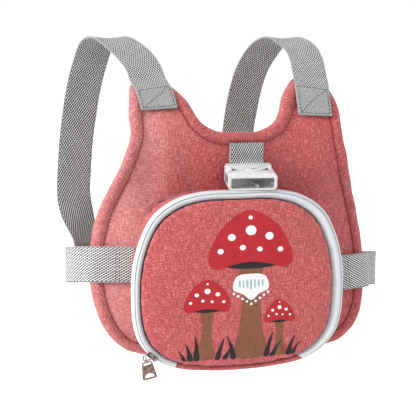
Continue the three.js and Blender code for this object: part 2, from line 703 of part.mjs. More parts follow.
const part = new THREE.Group();
const joint = 4 * GAP / (2 * (POUCH.width + POUCH.height)); // gap between tape ends and hinge
const left = sideStrapRows(-1, LEFT_SIDE, SIDE.leftUp);
const right = sideStrapRows(1, RIGHT_SIDE, SIDE.rightUp);
part.add(named('back_panel', backPanel(), CLOTH));
part.add(named('edge_binding', edgeBinding(), CLOTH));
const leftOver = shoulderStrapRows(-1, 'left', SHOULDER.leftSewn, left);
const rightOver = shoulderStrapRows(1, 'right', SHOULDER.rightSewn, right);
part.add(named('shoulder_strap_left', webbing(leftOver, 62), GREY_WEBBING));
part.add(named('shoulder_strap_right', webbing(rightOver, 62), GREY_WEBBING));
part.add(named('side_strap_left', webbing(left, 44), GREY_WEBBING));
part.add(named('side_strap_right', webbing(right, 48), GREY_WEBBING));
part.add(named('chest_buckle', chestBuckle(), WHITE_PLASTIC));
part.add(named('pouch_gusset', pouchGusset(), CLOTH));
part.add(named('pouch_front', pouchFront(), CLOTH));
part.add(named('zip_tape_outer', bandStrip(TAPES.from, TAPES.to, 40, 0, TAPES.outer), GREY_TAPE));
part.add(named('zip_tape_inner', bandStrip(TAPES.from, TAPES.to, 40, TAPES.inner, 1), GREY_TAPE));
part.add(named('zip_coil', zipCoil(TAPES.from, TAPES.to, TAPES.split), GREY_TAPE));
part.add(named('bottom_hinge', bandStrip(TAPES.to + joint, 1 + TAPES.from - joint, 14, 0, 1), CLOTH));
part.add(named('zip_slider', zipSlider(), ZIP_METAL));
part.add(named('zip_pull', zipPull(), ZIP_METAL));
part.add(named('leash_buckle', leashBuckle(), WHITE_PLASTIC));
part.add(named('leash_tab', webbing(leashTabRows(), 42), GREY_WEBBING));
part.position.copy(shoulderLine()).negate();
export default part;
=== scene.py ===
# Looks of a toddler harness backpack: coral canvas, grey webbing, a zipped pouch and a leash buckle.
# Sizes are in millimetres in the pack's own frame: X along the panel's width, Y from the pouch towards
# the wearer's chest, Z up from the panel's bottom edge. locate() turns them into the frame's metres.
import json
import math

import bmesh
import bpy
import numpy as np
from mathutils import Matrix, Vector
from mathutils.bvhtree import BVHTree

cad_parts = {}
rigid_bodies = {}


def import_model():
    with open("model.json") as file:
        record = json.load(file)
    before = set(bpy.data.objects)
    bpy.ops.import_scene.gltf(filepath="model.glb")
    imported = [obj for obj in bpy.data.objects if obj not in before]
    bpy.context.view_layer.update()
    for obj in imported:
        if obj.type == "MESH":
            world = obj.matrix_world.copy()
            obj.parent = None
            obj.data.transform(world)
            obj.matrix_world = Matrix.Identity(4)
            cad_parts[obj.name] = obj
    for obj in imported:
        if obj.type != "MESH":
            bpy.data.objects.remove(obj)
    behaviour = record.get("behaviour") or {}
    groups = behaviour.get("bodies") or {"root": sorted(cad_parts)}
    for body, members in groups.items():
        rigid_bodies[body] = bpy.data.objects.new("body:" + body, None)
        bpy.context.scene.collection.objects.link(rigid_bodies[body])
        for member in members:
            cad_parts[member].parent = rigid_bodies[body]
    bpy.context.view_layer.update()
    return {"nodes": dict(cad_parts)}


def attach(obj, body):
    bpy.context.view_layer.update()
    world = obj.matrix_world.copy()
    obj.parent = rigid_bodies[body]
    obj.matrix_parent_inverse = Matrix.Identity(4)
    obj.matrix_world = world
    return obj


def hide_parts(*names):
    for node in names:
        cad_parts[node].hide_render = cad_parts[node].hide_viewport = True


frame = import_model()
nodes = frame["nodes"]

MM = 0.001
ORIGIN = np.array([-16.625, 72.719, 265.2])  # the shoulder line, in the pack's own frame

# Driving dimensions, as in the solids
GAP = 0.3
SOFT_GAP = 0.8
PANEL_WIDTH, PANEL_HEIGHT, PANEL_THICKNESS = 242, 233.5, 5
PANEL_WRAP, PANEL_LEAN, PANEL_SAG = 27, 30, 5
BINDING_WIDTH, BINDING_THICKNESS = 8.5, 1
WEBBING_WIDTH, WEBBING_THICKNESS = 30, 1.6
SHOULDER_ROOT, LEFT_SEWN, RIGHT_SEWN, SHOULDER_RISE = 66, 24, 31, 32.5
LEFT_UP, RIGHT_UP = 82, 66
LOOP_DEPTH, LOOP_SHIFT, LOOP_SPACING, LOOP_UP = 116, -40, 69, 57
POUCH_WIDTH, POUCH_HEIGHT, POUCH_DEPTH, POUCH_UP, POUCH_SHIFT = 178, 147, 30, -1, -8
SEAM_WIDTH, SEAM_TOP = 168, 143
BAND_ROLL, BAND_LEFT, BAND_RIGHT, BAND_TOP, BAND_BOTTOM = 8, 7, 11, 7, 5
CHEST_LENGTH, CHEST_POCKET = 50, 9
LEASH_SHIFT, LEASH_PITCH, LEASH_YAW, LEASH_BAR = 4.5, 10, 7, 3
LEASH_WIDTH, LEASH_HEIGHT, LEASH_NECK_HEIGHT = 39.6, 13.6, 6.6
TAPE_FROM, TAPE_TO = 0.121, 0.877
GUSSET_CORNER = 0.663  # share round the pouch of its upper left corner
PRINT_MIDDLE = (-11, 72)  # across and up
PRINT_LIFT = 0.14  # how far the ink stands off the pad
TAB_WIDTH = 28
TAB_TUCK = 0.3  # how far the tab's top goes under the binding
PULL_PIVOT = np.array([-86.085, -36.24, 13.109])
PULL_LEAN = math.radians(11)
PLATE_LENGTH = 24  # of the pull, from its link down
PLATE_FLARE, PLATE_RAISE, LINK_RAISE = 0.13, 0.1, 2.3
GUSSET_LENGTH, GUSSET_DEPTH = 560, 31  # flat sizes of the gusset's cloth
BAND_LENGTH = 545  # once round the zip band
FLOOR_LEVEL = -260  # the pack is held up well above the floor
FLOOR_SIZE = 14  # in metres
CAMERA_AZIMUTH, CAMERA_ELEVATION = math.radians(-15), math.radians(8)
CAMERA_PLACE = (-268.0, -903.4, 259.4)
SENSOR_WIDTH, FOCAL_PIXELS, PICTURE_WIDTH = 36, 1150, 416
FACING = SOFT_GAP + BINDING_THICKNESS
ON_BINDING = FACING + SOFT_GAP + WEBBING_THICKNESS / 2
HALF_PANEL = PANEL_WIDTH / 2

# Half outline of the panel from the neckline to the bottom: across, up
PANEL_OUTLINE = np.array([
    (0, 0.814), (0.16, 0.819), (0.272, 0.855), (0.35, 0.928), (0.45, 0.98), (0.565, 1), (0.69, 0.972),
    (0.737, 0.895), (0.744, 0.808), (0.818, 0.682), (0.945, 0.51), (1, 0.338), (0.962, 0.176),
    (0.83, 0.068), (0.5, 0.014), (0, 0),
])
# How the panel wraps back at its edges and leans, row by row: up, wrap, lean
PANEL_BEND = np.array([
    (0, 0.3, 0), (0.125, 0.4, 0), (0.25, 0.68, 0), (0.35, 0.88, 0), (0.45, 1, 0), (0.53, 0.97, 0),
    (0.61, 0.75, -0.02), (0.69, 0.38, -0.1), (0.77, 0.2, -0.17), (0.83, 0.2, -0.12), (0.89, 0.2, 0.1),
    (0.95, 0.2, 0.5), (1, 0.2, 1.03),
])
# Half outline of the pouch from its bottom to its top: across, up
POUCH_OUTLINE = np.array([
    (0, 0), (0.3, 0.007), (0.6, 0.035), (0.8, 0.095), (0.93, 0.185), (0.985, 0.29), (1, 0.45),
    (0.985, 0.6), (0.92, 0.745), (0.81, 0.87), (0.62, 0.955), (0.38, 0.995), (0, 1),
])
# The zip band in section: across, inset, forward
BAND_SECTION = np.array([
    (0, 0, 0), (0.2, 0.06, 0.35), (0.4, 0.24, 0.68), (0.6, 0.5, 0.84), (0.8, 0.76, 0.7), (1, 1, 0.4),
    (1.3, 1.4, 0.1),
])
# The shoulder straps over the shoulder: back, rise, left strap sideways, right strap sideways
ARCH = np.array([
    (0.042, 0.14, 0.11, -0.15), (0.154, 0.44, 0.2, -0.19), (0.287, 0.74, 0.37, -0.16),
    (0.443, 0.96, 0.56, 0), (0.515, 1, 0.67, 0.12), (0.588, 0.96, 0.78, 0.26),
    (0.688, 0.78, 0.86, 0.385), (0.777, 0.43, 0.92, 0.556), (0.833, 0.11, 0.98, 0.66),
])
# The shoulder straps down the chest: back, down, left strap sideways, right strap sideways
FALL = np.array([
    (0.866, 0.05, 1.04, 0.75), (0.894, 0.12, 1.09, 0.81), (0.905, 0.19, 1.13, 0.867),
    (0.928, 0.3, 1.19, 0.93), (0.933, 0.45, 1.24, 0.95), (0.93, 0.62, 1.26, 0.95),
])
# The side straps round the body: across, back, level
LEFT_SIDE = np.array([
    (1.055, 0.237, 0.04), (1.105, 0.3, 0.1), (1.128, 0.4, 0.18), (1.112, 0.517, 0.27),
    (1.066, 0.647, 0.38), (0.99, 0.776, 0.5), (0.876, 0.879, 0.6), (0.74, 0.95, 0.82),
])
RIGHT_SIDE = np.array([
    (1.06, 0.226, 0.08), (1.124, 0.276, 0.2), (1.161, 0.362, 0.42), (1.15, 0.483, 0.7),
    (1.083, 0.62, 0.92), (0.96, 0.75, 1), (0.785, 0.845, 1), (0.58, 0.914, 1), (0.35, 0.966, 1),
    (0.1, 0.992, 1),
])


def locate(points):
    """Points of the pack's own frame, in millimetres, as the frame's metres"""
    return (np.asarray(points, float) - ORIGIN) * MM


def unit(vectors):
    return vectors / np.linalg.norm(vectors, axis=-1, keepdims=True)


# Curves and surfaces of the pack


class Curve:
    """Smooth centripetal curve through a list of points"""

    def __init__(self, points, closed=False):
        self.points = np.asarray(points, float)
        self.closed = closed
        fine = self.at(np.linspace(0, 1, 401))
        steps = np.linalg.norm(np.diff(fine, axis=0), axis=1)
        self.lengths = np.concatenate([[0], np.cumsum(steps)])
        self.length = self.lengths[-1]

    def _point(self, index):
        count = len(self.points)
        if self.closed:
            return self.points[index % count]
        inside = self.points[np.clip(index, 0, count - 1)]
        before = 2 * self.points[0] - self.points[1]
        after = 2 * self.points[-1] - self.points[-2]
        inside = np.where((index < 0)[:, None], before, inside)
        return np.where((index > count - 1)[:, None], after, inside)

    def at(self, shares):
        shares = np.atleast_1d(np.asarray(shares, float))
        spans = len(self.points) - (0 if self.closed else 1)
        place = shares * spans
        first = np.floor(place).astype(int)
        if not self.closed:
            first = np.clip(first, 0, spans - 1)
        t = (place - first)[:, None]
        p = [self._point(first + k) for k in (-1, 0, 1, 2)]
        d = [np.maximum(np.linalg.norm(p[k + 1] - p[k], axis=1), 1e-6)[:, None] ** 0.5 for k in range(3)]
        into = ((p[1] - p[0]) / d[0] - (p[2] - p[0]) / (d[0] + d[1]) + (p[2] - p[1]) / d[1]) * d[1]
        out = ((p[2] - p[1]) / d[1] - (p[3] - p[1]) / (d[1] + d[2]) + (p[3] - p[2]) / d[2]) * d[1]
        bend = -3 * p[1] + 3 * p[2] - 2 * into - out
        return p[1] + into * t + bend * t**2 + (2 * p[1] - 2 * p[2] + into + out) * t**3

    def at_length(self, shares):
        """Points at shares of the curve's length"""
        shares = np.asarray(shares, float)
        if self.closed:
            shares = shares % 1
        return self.at(np.interp(shares * self.length, self.lengths, np.linspace(0, 1, 401)))


def mirrored(outline):
    """Closed curve from half an outline and its mirror image"""
    other = outline[1:-1][::-1] * (-1, 1)
    return Curve(np.concatenate([outline, other]), closed=True)


def smooth(rows, at, column):
    """One column of a table at places between its rows"""
    places, values = rows[:, 0], rows[:, column]
    slopes = np.empty(len(rows))
    slopes[1:-1] = (values[2:] - values[:-2]) / (places[2:] - places[:-2])
    slopes[0] = (values[1] - values[0]) / (places[1] - places[0])
    slopes[-1] = (values[-1] - values[-2]) / (places[-1] - places[-2])
    k = np.clip(np.searchsorted(places, at, side="right") - 1, 0, len(rows) - 2)
    span = places[k + 1] - places[k]
    t = (at - places[k]) / span
    hold = (1 + 2 * t) * (1 - t) ** 2 * values[k] + t * t * (3 - 2 * t) * values[k + 1]
    return hold + (t * (1 - t) ** 2 * slopes[k] - t * t * (1 - t) * slopes[k + 1]) * span


def panel_depth(x, z):
    up = np.asarray(z) / PANEL_HEIGHT
    wrap = PANEL_WRAP * smooth(PANEL_BEND, up, 1) * (np.asarray(x) / HALF_PANEL) ** 2
    return wrap + PANEL_LEAN * smooth(PANEL_BEND, up, 2)


def on_face(x, z, height):
    """Points at a height off the panel's face, towards the pouch"""
    x, z, height = np.broadcast_arrays(np.asarray(x, float), z, height)
    step = 0.5
    sideways = (panel_depth(x + step, z) - panel_depth(x - step, z)) / (2 * step)
    upwards = (panel_depth(x, z + step) - panel_depth(x, z - step)) / (2 * step)
    slant = np.sqrt(1 + sideways**2 + upwards**2)
    return np.stack([x, panel_depth(x, z) - height * slant, z], axis=-1)


panel_curve = mirrored(PANEL_OUTLINE)
pouch_curve = mirrored(POUCH_OUTLINE)


def panel_edge(share, inset):
    """Points of the panel's outline in X and Z, moved in from the edge"""

    def outline(round_share):
        place = panel_curve.at_length(round_share)
        corner = np.maximum(place[:, 0], 0) ** 2 * np.maximum(1 - 3 * place[:, 1], 0)
        return np.stack([place[:, 0] * HALF_PANEL, place[:, 1] * PANEL_HEIGHT - PANEL_SAG * corner], axis=-1)

    step = 1e-3
    run = unit(outline(share + step) - outline(share - step))
    return outline(share) + np.stack([run[:, 1], -run[:, 0]], axis=-1) * np.asarray(inset)[..., None]


def pouch_point(share, inset, forward):
    """Points between the gusset's rim and the front's edge, at a distance in front of the panel"""
    place = pouch_curve.at_length(share)
    inset = np.asarray(inset, float)
    left = POUCH_SHIFT - POUCH_WIDTH / 2 + BAND_LEFT * inset
    right = POUCH_SHIFT + POUCH_WIDTH / 2 - BAND_RIGHT * inset
    bottom = POUCH_UP + BAND_BOTTOM * inset
    top = POUCH_UP + POUCH_HEIGHT - BAND_TOP * inset
    x = left + (right - left) * (1 + place[:, 0]) / 2
    z = bottom + (top - bottom) * place[:, 1]
    return np.stack([x, -forward * np.ones_like(x), z], axis=-1)


def gusset_point(share, forward, inset):
    """Points of the gusset's wall from its seam (0) to its rim (1)"""
    place = pouch_curve.at_length(share)
    low = BINDING_WIDTH + 2 * GAP + inset
    high = SEAM_TOP - inset
    foot = on_face(place[:, 0] * (SEAM_WIDTH / 2 - inset), low + (high - low) * place[:, 1], GAP)
    rim = pouch_point(share, 0, POUCH_DEPTH)
    middle = np.array([POUCH_SHIFT, -POUCH_DEPTH, POUCH_UP + POUCH_HEIGHT / 2])
    rim = (rim - middle) * (1 - inset / (POUCH_HEIGHT / 2)) + middle
    return foot + (rim - foot) * np.asarray(forward)[..., None]


def band_point(share, across, depth):
    """Points on the zip band, from the gusset (0) round to the front (1), set in by a depth"""

    def at(place):
        inset = smooth(BAND_SECTION, place, 1)
        return pouch_point(share, inset, POUCH_DEPTH + GAP + smooth(BAND_SECTION, place, 2) * BAND_ROLL)

    over = at(across + 0.01) - at(np.maximum(across - 0.01, 0))
    ahead = pouch_point(share + 0.002, 0, 0) - pouch_point(share - 0.002, 0, 0)
    normal = unit(np.cross(ahead, over))
    return at(across) - normal * np.asarray(depth)[..., None]


# Routes of the webbing: rows of a middle point and the direction across


def face_row(x, z, across, height):
    half = np.asarray(across, float) * WEBBING_WIDTH / 2
    ends = [on_face(x + hand * half[0], z + hand * half[2], height) for hand in (-1, 1)]
    return (ends[0] + ends[1]) / 2, unit(ends[1] - ends[0])


def side_strap_rows(hand, table, up):
    clear = gusset_point(np.array([0.25 if hand < 0 else 0.75]), np.array([ON_BINDING / POUCH_DEPTH]), 0)[0]
    start = abs(clear[0]) + WEBBING_THICKNESS + 2 * GAP
    upright = (0, 0, 1)
    rows = []
    for share in (0, 0.25, 0.5, 0.75, 1):
        rows.append(face_row(hand * (start + (HALF_PANEL - start) * share), up, upright, ON_BINDING))
    for across, back, level in table:
        at = (hand * across * HALF_PANEL, back * LOOP_DEPTH, up + level * (LOOP_UP - up))
        rows.append((np.array(at), np.array(upright)))
    end = LOOP_SHIFT + hand * (CHEST_LENGTH / 2 - CHEST_POCKET + GAP)
    for x in (end + hand * CHEST_POCKET * 2, end):
        rows.append((np.array([x, LOOP_DEPTH, LOOP_UP]), np.array(upright)))
    return rows


def shoulder_strap_rows(hand, column, sewn, side_rows):
    root = hand * SHOULDER_ROOT
    lap = LOOP_SHIFT + hand * LOOP_SPACING
    lobe = float(on_face(root, PANEL_HEIGHT, ON_BINDING)[1])
    level = (1, 0, 0)

    def free(row, z):
        x = root + (lap - root) * row[column]
        return np.array([x, lobe + (LOOP_DEPTH - lobe) * row[0], z]), np.array(level)

    rows = []
    for share in (1, 0.8, 0.6, 0.4, 0.2, 0):
        x = root + (lap - root) * ARCH[0][column] * (1 - share) ** 2
        rows.append(face_row(x, PANEL_HEIGHT - sewn * share, level, ON_BINDING))
    rows += [free(row, PANEL_HEIGHT + SHOULDER_RISE * row[1]) for row in ARCH]
    rows += [free(row, PANEL_HEIGHT + (LOOP_UP - PANEL_HEIGHT) * row[1]) for row in FALL]

    # The lower end lies flat on the side strap's outside
    loop = Curve([at for at, _ in side_rows])
    share = 1
    while hand * (loop.at(share)[0][0] - lap) < 0:
        share -= 0.002
    place = loop.at(share)[0]
    run = unit(loop.at(share + 0.001)[0] - loop.at(share - 0.001)[0]) * -hand
    out = np.array([-run[1], run[0], 0]) * np.sign(run[0])
    lift = WEBBING_THICKNESS + 2 * SOFT_GAP
    for drop in (0.65, 0.3, 0, -0.4):
        at = (place[0] + out[0] * lift, place[1] + out[1] * lift, place[2] + drop * WEBBING_WIDTH)
        rows.append((np.array(at), run))
    return rows


def leash_frame():
    """Turn and place of the leash buckle: its bar's middle, tilted mouth down on the pouch's rim"""
    pitch, yaw = math.radians(LEASH_PITCH), -math.radians(LEASH_YAW)
    rim = POUCH_UP + POUCH_HEIGHT + GAP * 2
    bar = -float(panel_depth(0, rim)) + ON_BINDING + WEBBING_THICKNESS * 2 + LEASH_BAR
    down = (POUCH_DEPTH + GAP - bar) * math.tan(pitch)
    height = LEASH_HEIGHT - LEASH_NECK_HEIGHT / 2
    at = Vector((LEASH_SHIFT, -bar, rim + down + height / math.cos(pitch)))
    turn = Matrix.Rotation(yaw, 4, "Z") @ Matrix.Rotation(pitch, 4, "X")
    return Matrix.Translation(at) @ turn


def leash_tab_rows():
    place = np.array(leash_frame())
    radius = LEASH_BAR / 2 + 2 * GAP + WEBBING_THICKNESS / 2
    neck = PANEL_OUTLINE[0][1] * PANEL_HEIGHT - BINDING_WIDTH - GAP
    bar = place[:3, 3]
    low = bar[2] + (neck - bar[2]) * 0.35
    under = SOFT_GAP + WEBBING_THICKNESS / 2
    over = under + WEBBING_THICKNESS + SOFT_GAP
    level = np.array([1.0, 0, 0])
    top = neck + TAB_TUCK
    rows = [(on_face(LEASH_SHIFT, low + (top - low) * share, over), level) for share in (1, 0.5, 0)]
    for angle in (100, 45, 0, -45, -90, -150):
        a = math.radians(angle)
        at = place @ np.array([0, -radius * math.cos(a), radius * math.sin(a), 1])
        rows.append((at[:3], unit(place[:3, 0])))
    rows += [(on_face(LEASH_SHIFT, low + (top - low) * share, under), level) for share in (0, 0.5, 1)]
    return rows


# Making a piece


def deselect():
    for piece in bpy.data.objects:
        piece.select_set(False)


def pick(piece):
    deselect()
    piece.select_set(True)
    bpy.context.view_layer.objects.active = piece


def apply_modifier(piece, kind, **settings):
    pick(piece)
    modifier = piece.modifiers.new(kind.title(), kind)
    for key, value in settings.items():
        setattr(modifier, key, value)
    bpy.ops.object.modifier_apply(modifier=modifier.name)


def edit(piece, *steps):
    """Runs edit-mode steps on the whole piece"""
    pick(piece)
    bpy.ops.object.mode_set(mode="EDIT")
    bpy.ops.mesh.select_all(action="SELECT")
    for step in steps:
        step()
    bpy.ops.object.mode_set(mode="OBJECT")


def shade(piece, degrees=40):
    pick(piece)
    bpy.ops.object.shade_smooth_by_angle(angle=math.radians(degrees))


def finish(piece, material, body="pack", slot="coral_canvas", replaces=()):
    piece.data.materials.clear()
    piece.data.materials.append(material)
    if replaces:
        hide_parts(*replaces)
    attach(piece, body)
    return piece


def cloth_sheet(name, along, across, surface, length, width, thickness=0.0, closed=False):
    """A grid laid on a surface: surface(u, v) gives points in millimetres for shares along and across.
    Its UV map is in metres of cloth. A thickness makes it a wall, inwards from the surface."""
    pick(nodes["back_panel"])
    deselect()
    bpy.ops.mesh.primitive_grid_add(x_subdivisions=along, y_subdivisions=across, size=1)
    piece = bpy.context.object
    piece.name = name
    mesh = piece.data
    flat = np.empty(len(mesh.vertices) * 3)
    mesh.vertices.foreach_get("co", flat)
    flat = flat.reshape(-1, 3)
    u = np.clip(flat[:, 0] + 0.5, 0, 1)
    v = np.clip(flat[:, 1] + 0.5, 0, 1)
    mesh.vertices.foreach_set("co", locate(surface(u, v)).ravel())
    corner = np.empty(len(mesh.loops), int)
    mesh.loops.foreach_get("vertex_index", corner)
    uv = np.stack([u[corner] * length * MM, v[corner] * width * MM], axis=-1)
    mesh.uv_layers[0].data.foreach_set("uv", uv.ravel())
    mesh.update()
    if closed:
        edit(piece, lambda: bpy.ops.mesh.remove_doubles(threshold=1e-6))
    if thickness:
        apply_modifier(piece, "SOLIDIFY", thickness=abs(thickness) * MM, offset=-1 if thickness > 0 else 1)
        edit(piece, lambda: bpy.ops.mesh.normals_make_consistent(inside=False))
    return piece


def solid_copy(name, node):
    """The solid of a node as a new piece, with its shared corners merged"""
    deselect()
    piece = nodes[node].copy()
    piece.data = nodes[node].data.copy()
    piece.parent = None
    for key in list(piece.keys()):
        del piece[key]
    piece.name = name
    bpy.context.scene.collection.objects.link(piece)
    edit(piece, lambda: bpy.ops.mesh.remove_doubles(threshold=2e-6))
    return piece


def soften_edges(piece, width, segments=2, flat=2.0):
    """Joins flat faces and rounds the hard edges"""
    edit(piece, lambda: bpy.ops.mesh.dissolve_limited(angle_limit=math.radians(flat)))
    apply_modifier(piece, "BEVEL", width=width * MM, segments=segments, limit_method="ANGLE",
                   angle_limit=math.radians(28), harden_normals=False, miter_outer="MITER_ARC")
    shade(piece)


def flat_uv(piece):
    """Lays the piece's UV map by its places in X and Z, in metres"""
    mesh = piece.data
    co = np.empty(len(mesh.vertices) * 3)
    mesh.vertices.foreach_get("co", co)
    co = co.reshape(-1, 3)
    corner = np.empty(len(mesh.loops), int)
    mesh.loops.foreach_get("vertex_index", corner)
    layer = mesh.uv_layers[0] if mesh.uv_layers else mesh.uv_layers.new(name="UVMap")
    layer.data.foreach_set("uv", co[corner][:, [0, 2]].ravel())


def swell(piece, voxel, held, most, waves, pressure=4.0):
    """Pads a closed piece out by cloth simulation: held gives each point's hold from 0 to 1,
    and no point moves further than its own part of most, in millimetres. waves gives the height
    of the cloth's folds over each point, also in millimetres"""
    piece.data.remesh_voxel_size = voxel * MM
    pick(piece)
    bpy.ops.object.voxel_remesh()
    apply_modifier(piece, "SMOOTH", factor=0.5, iterations=6)
    mesh = piece.data
    count = len(mesh.vertices)
    rest = np.empty(count * 3)
    mesh.vertices.foreach_get("co", rest)
    rest = rest.reshape(-1, 3)
    hold = held(rest / MM + ORIGIN)
    group = piece.vertex_groups.new(name="held")
    for index, weight in enumerate(hold):
        if weight > 0:
            group.add([index], float(weight), "REPLACE")
    cloth = piece.modifiers.new("Cloth", "CLOTH")
    settings = cloth.settings
    settings.quality = 5
    settings.use_pressure = True
    settings.uniform_pressure_force = pressure
    settings.effector_weights.gravity = 0
    settings.vertex_group_mass = "held"
    for frame_number in range(1, 21):
        bpy.context.scene.frame_set(frame_number)
    bpy.ops.object.modifier_apply(modifier=cloth.name)
    bpy.context.scene.frame_set(1)
    moved = np.empty(count * 3)
    mesh.vertices.foreach_get("co", moved)
    shift = moved.reshape(-1, 3) - rest
    reach = np.linalg.norm(shift, axis=1, keepdims=True)
    limit = most * MM * (1 - hold[:, None])
    shift *= np.minimum(1, limit / np.maximum(reach, 1e-9))
    mesh.vertices.foreach_set("co", (rest + shift).ravel())
    mesh.update()
    piece.vertex_groups.clear()
    apply_modifier(piece, "SMOOTH", factor=0.5, iterations=4)
    outward = np.empty(count * 3)
    mesh.vertices.foreach_get("normal", outward)
    place = np.empty(count * 3)
    mesh.vertices.foreach_get("co", place)
    lift = waves(rest / MM + ORIGIN, hold) * MM
    mesh.vertices.foreach_set("co", place + outward * np.repeat(lift, 3))
    mesh.update()
    apply_modifier(piece, "SUBSURF", levels=1, render_levels=1)
    flat_uv(piece)
    shade(piece, 60)


# Finishes


STUDIO = 1.18  # how much the studio light brightens a face that is turned to the camera


def linear(red, green, blue):
    """A colour as it looks under the studio light, 0 to 255 as on a screen, for a shader"""
    def channel(value):
        value = min(max(value, 0), 255) / 255
        return (value / 12.92 if value <= 0.04045 else ((value + 0.055) / 1.055) ** 2.4) / STUDIO

    return (channel(red), channel(green), channel(blue), 1.0)


class Finish:
    """A material and short ways to add its nodes"""

    def __init__(self, name, roughness, metallic=0.0, sheen=0.0, base=None):
        self.material = bpy.data.materials.new(name)
        self.material.use_nodes = True
        self.nodes = self.material.node_tree.nodes
        self.links = self.material.node_tree.links
        self.shader = self.nodes["Principled BSDF"]
        self.shader.inputs["Roughness"].default_value = roughness
        self.shader.inputs["Metallic"].default_value = metallic
        self.shader.inputs["Sheen Weight"].default_value = sheen
        if base:
            self.shader.inputs["Base Color"].default_value = base

    def add(self, kind, *inputs, **settings):
        node = self.nodes.new(kind)
        for key, value in settings.items():
            setattr(node, key, value)
        for index, value in enumerate(inputs):
            if value is None:
                continue
            if isinstance(value, bpy.types.NodeSocket):
                self.links.new(value, node.inputs[index])
            else:
                node.inputs[index].default_value = value
        return node

    def math(self, operation, *inputs):
        return self.add("ShaderNodeMath", *inputs, operation=operation).outputs[0]

    def scaled(self, vector, x, y, z=1.0, turn=0.0):
        node = self.add("ShaderNodeMapping", vector)
        node.inputs["Scale"].default_value = (x, y, z)
        node.inputs["Rotation"].default_value = (0, 0, turn)
        return node.outputs[0]

    def noise(self, vector, scale=1.0, detail=2.0, roughness=0.5):
        node = self.nodes.new("ShaderNodeTexNoise")
        self.links.new(vector, node.inputs["Vector"])
        node.inputs["Scale"].default_value = scale
        node.inputs["Detail"].default_value = detail
        node.inputs["Roughness"].default_value = roughness
        return node.outputs["Fac"]

    def ramp(self, value, *stops):
        node = self.nodes.new("ShaderNodeValToRGB")
        self.links.new(value, node.inputs["Fac"])
        ramp = node.color_ramp
        while len(ramp.elements) < len(stops):
            ramp.elements.new(0.5)
        for element, (place, colour) in zip(ramp.elements, stops):
            element.position = place
            element.color = colour
        return node.outputs["Color"]

    def mix(self, share, first, second, blend="MIX"):
        node = self.nodes.new("ShaderNodeMix")
        node.data_type = "RGBA"
        node.blend_type = blend
        for name, value in (("Factor", share), ("A", first), ("B", second)):
            kind = "VALUE" if name == "Factor" else "RGBA"
            socket = [s for s in node.inputs if s.name == name and s.type == kind][0]
            if isinstance(value, bpy.types.NodeSocket):
                self.links.new(value, socket)
            else:
                socket.default_value = value
        return [s for s in node.outputs if s.type == "RGBA"][0]

    def colour(self, socket):
        self.links.new(socket, self.shader.inputs["Base Color"])

    def rough(self, socket):
        self.links.new(socket, self.shader.inputs["Roughness"])

    def bump(self, height, distance, strength=1.0):
        node = self.nodes.new("ShaderNodeBump")
        node.inputs["Distance"].default_value = distance * MM
        node.inputs["Strength"].default_value = strength
        self.links.new(height, node.inputs["Height"])
        self.links.new(node.outputs[0], self.shader.inputs["Normal"])

    def uv(self):
        return self.nodes.new("ShaderNodeUVMap").outputs[0]

    def place(self):
        return self.nodes.new("ShaderNodeTexCoord").outputs["Object"]


THREAD = 0.72  # pitch of the canvas's threads
YARN_ALONG, YARN_ACROSS = 3.6, 1.06  # pitch of the webbing's ovals


def canvas_weave(finish, uv, turn=0.0):
    """Height of the woven threads and a value for each thread's shade"""
    pitch = THREAD * MM
    threads = finish.scaled(uv, 1 / pitch, 1 / pitch, turn=turn)
    split = finish.add("ShaderNodeSeparateXYZ", threads)
    across = finish.math("ABSOLUTE", finish.math("SINE", finish.math("MULTIPLY", split.outputs[0], math.pi)))
    along = finish.math("ABSOLUTE", finish.math("SINE", finish.math("MULTIPLY", split.outputs[1], math.pi)))
    height = finish.math("MULTIPLY", across, along)
    weft = finish.noise(finish.scaled(threads, 0.13, 1.5), 1, 1, 0.5)
    warp = finish.noise(finish.scaled(threads, 1.5, 0.1), 1, 1, 0.5)
    crossing = finish.add("ShaderNodeVectorMath", threads, operation="FLOOR").outputs[0]
    grain = finish.add("ShaderNodeTexWhiteNoise", crossing, noise_dimensions="2D").outputs[0]
    shade_value = finish.math("ADD", finish.math("MULTIPLY", weft, 0.4), finish.math("MULTIPLY", warp, 0.44))
    shade_value = finish.math("ADD", shade_value, finish.math("MULTIPLY", grain, 0.16))
    return height, shade_value


def canvas(name, turn=0.0, dark=1.0, pale=0.0):
    """Coral melange canvas, woven of light, coral and dark red threads. With pale, it is painted paler towards the
    left: painted highlight for the light that falls there
    """
    finish = Finish(name, 0.6, sheen=0.18)
    finish.shader.inputs["Sheen Roughness"].default_value = 0.6
    finish.shader.inputs["Specular IOR Level"].default_value = 0.5
    uv = finish.uv()
    height, value = canvas_weave(finish, uv, turn)
    threads = finish.ramp(
        value,
        (0.34, linear(136 * dark, 24 * dark, 32 * dark)),
        (0.45, linear(171 * dark, 54 * dark, 58 * dark)),
        (0.54, linear(190 * dark, 71 * dark, 73 * dark)),
        (0.66, linear(232 * dark, 134 * dark, 131 * dark)),
    )
    worn = finish.noise(finish.scaled(uv, 28, 28), 1, 3, 0.55)
    tint = finish.ramp(worn, (0.35, (0.9, 0.88, 0.88, 1)), (0.65, (1, 1, 1, 1)))
    cloth = finish.mix(0.6, threads, tint, "MULTIPLY")
    # Painted highlight: towards the left the canvas is blended into a pale pink, by pale at most
    if pale:
        across = finish.add("ShaderNodeSeparateXYZ", finish.place()).outputs[0]
        blur = finish.math("MULTIPLY", finish.math("SUBTRACT", worn, 0.5), 0.05)
        place = finish.math("ADD", across, blur)
        share = finish.add("ShaderNodeMapRange", place, -0.012, -0.075, 0.0, pale)
        share.interpolation_type = "SMOOTHSTEP"
        wear_and_highlight = finish.ramp(value, (0.34, linear(214, 128, 126)), (0.5, linear(242, 190, 185)),
                             (0.66, linear(255, 236, 232)))
        cloth = finish.mix(share.outputs[0], cloth, wear_and_highlight)
    finish.colour(cloth)
    finish.bump(height, 0.22, 0.75)
    return finish.material


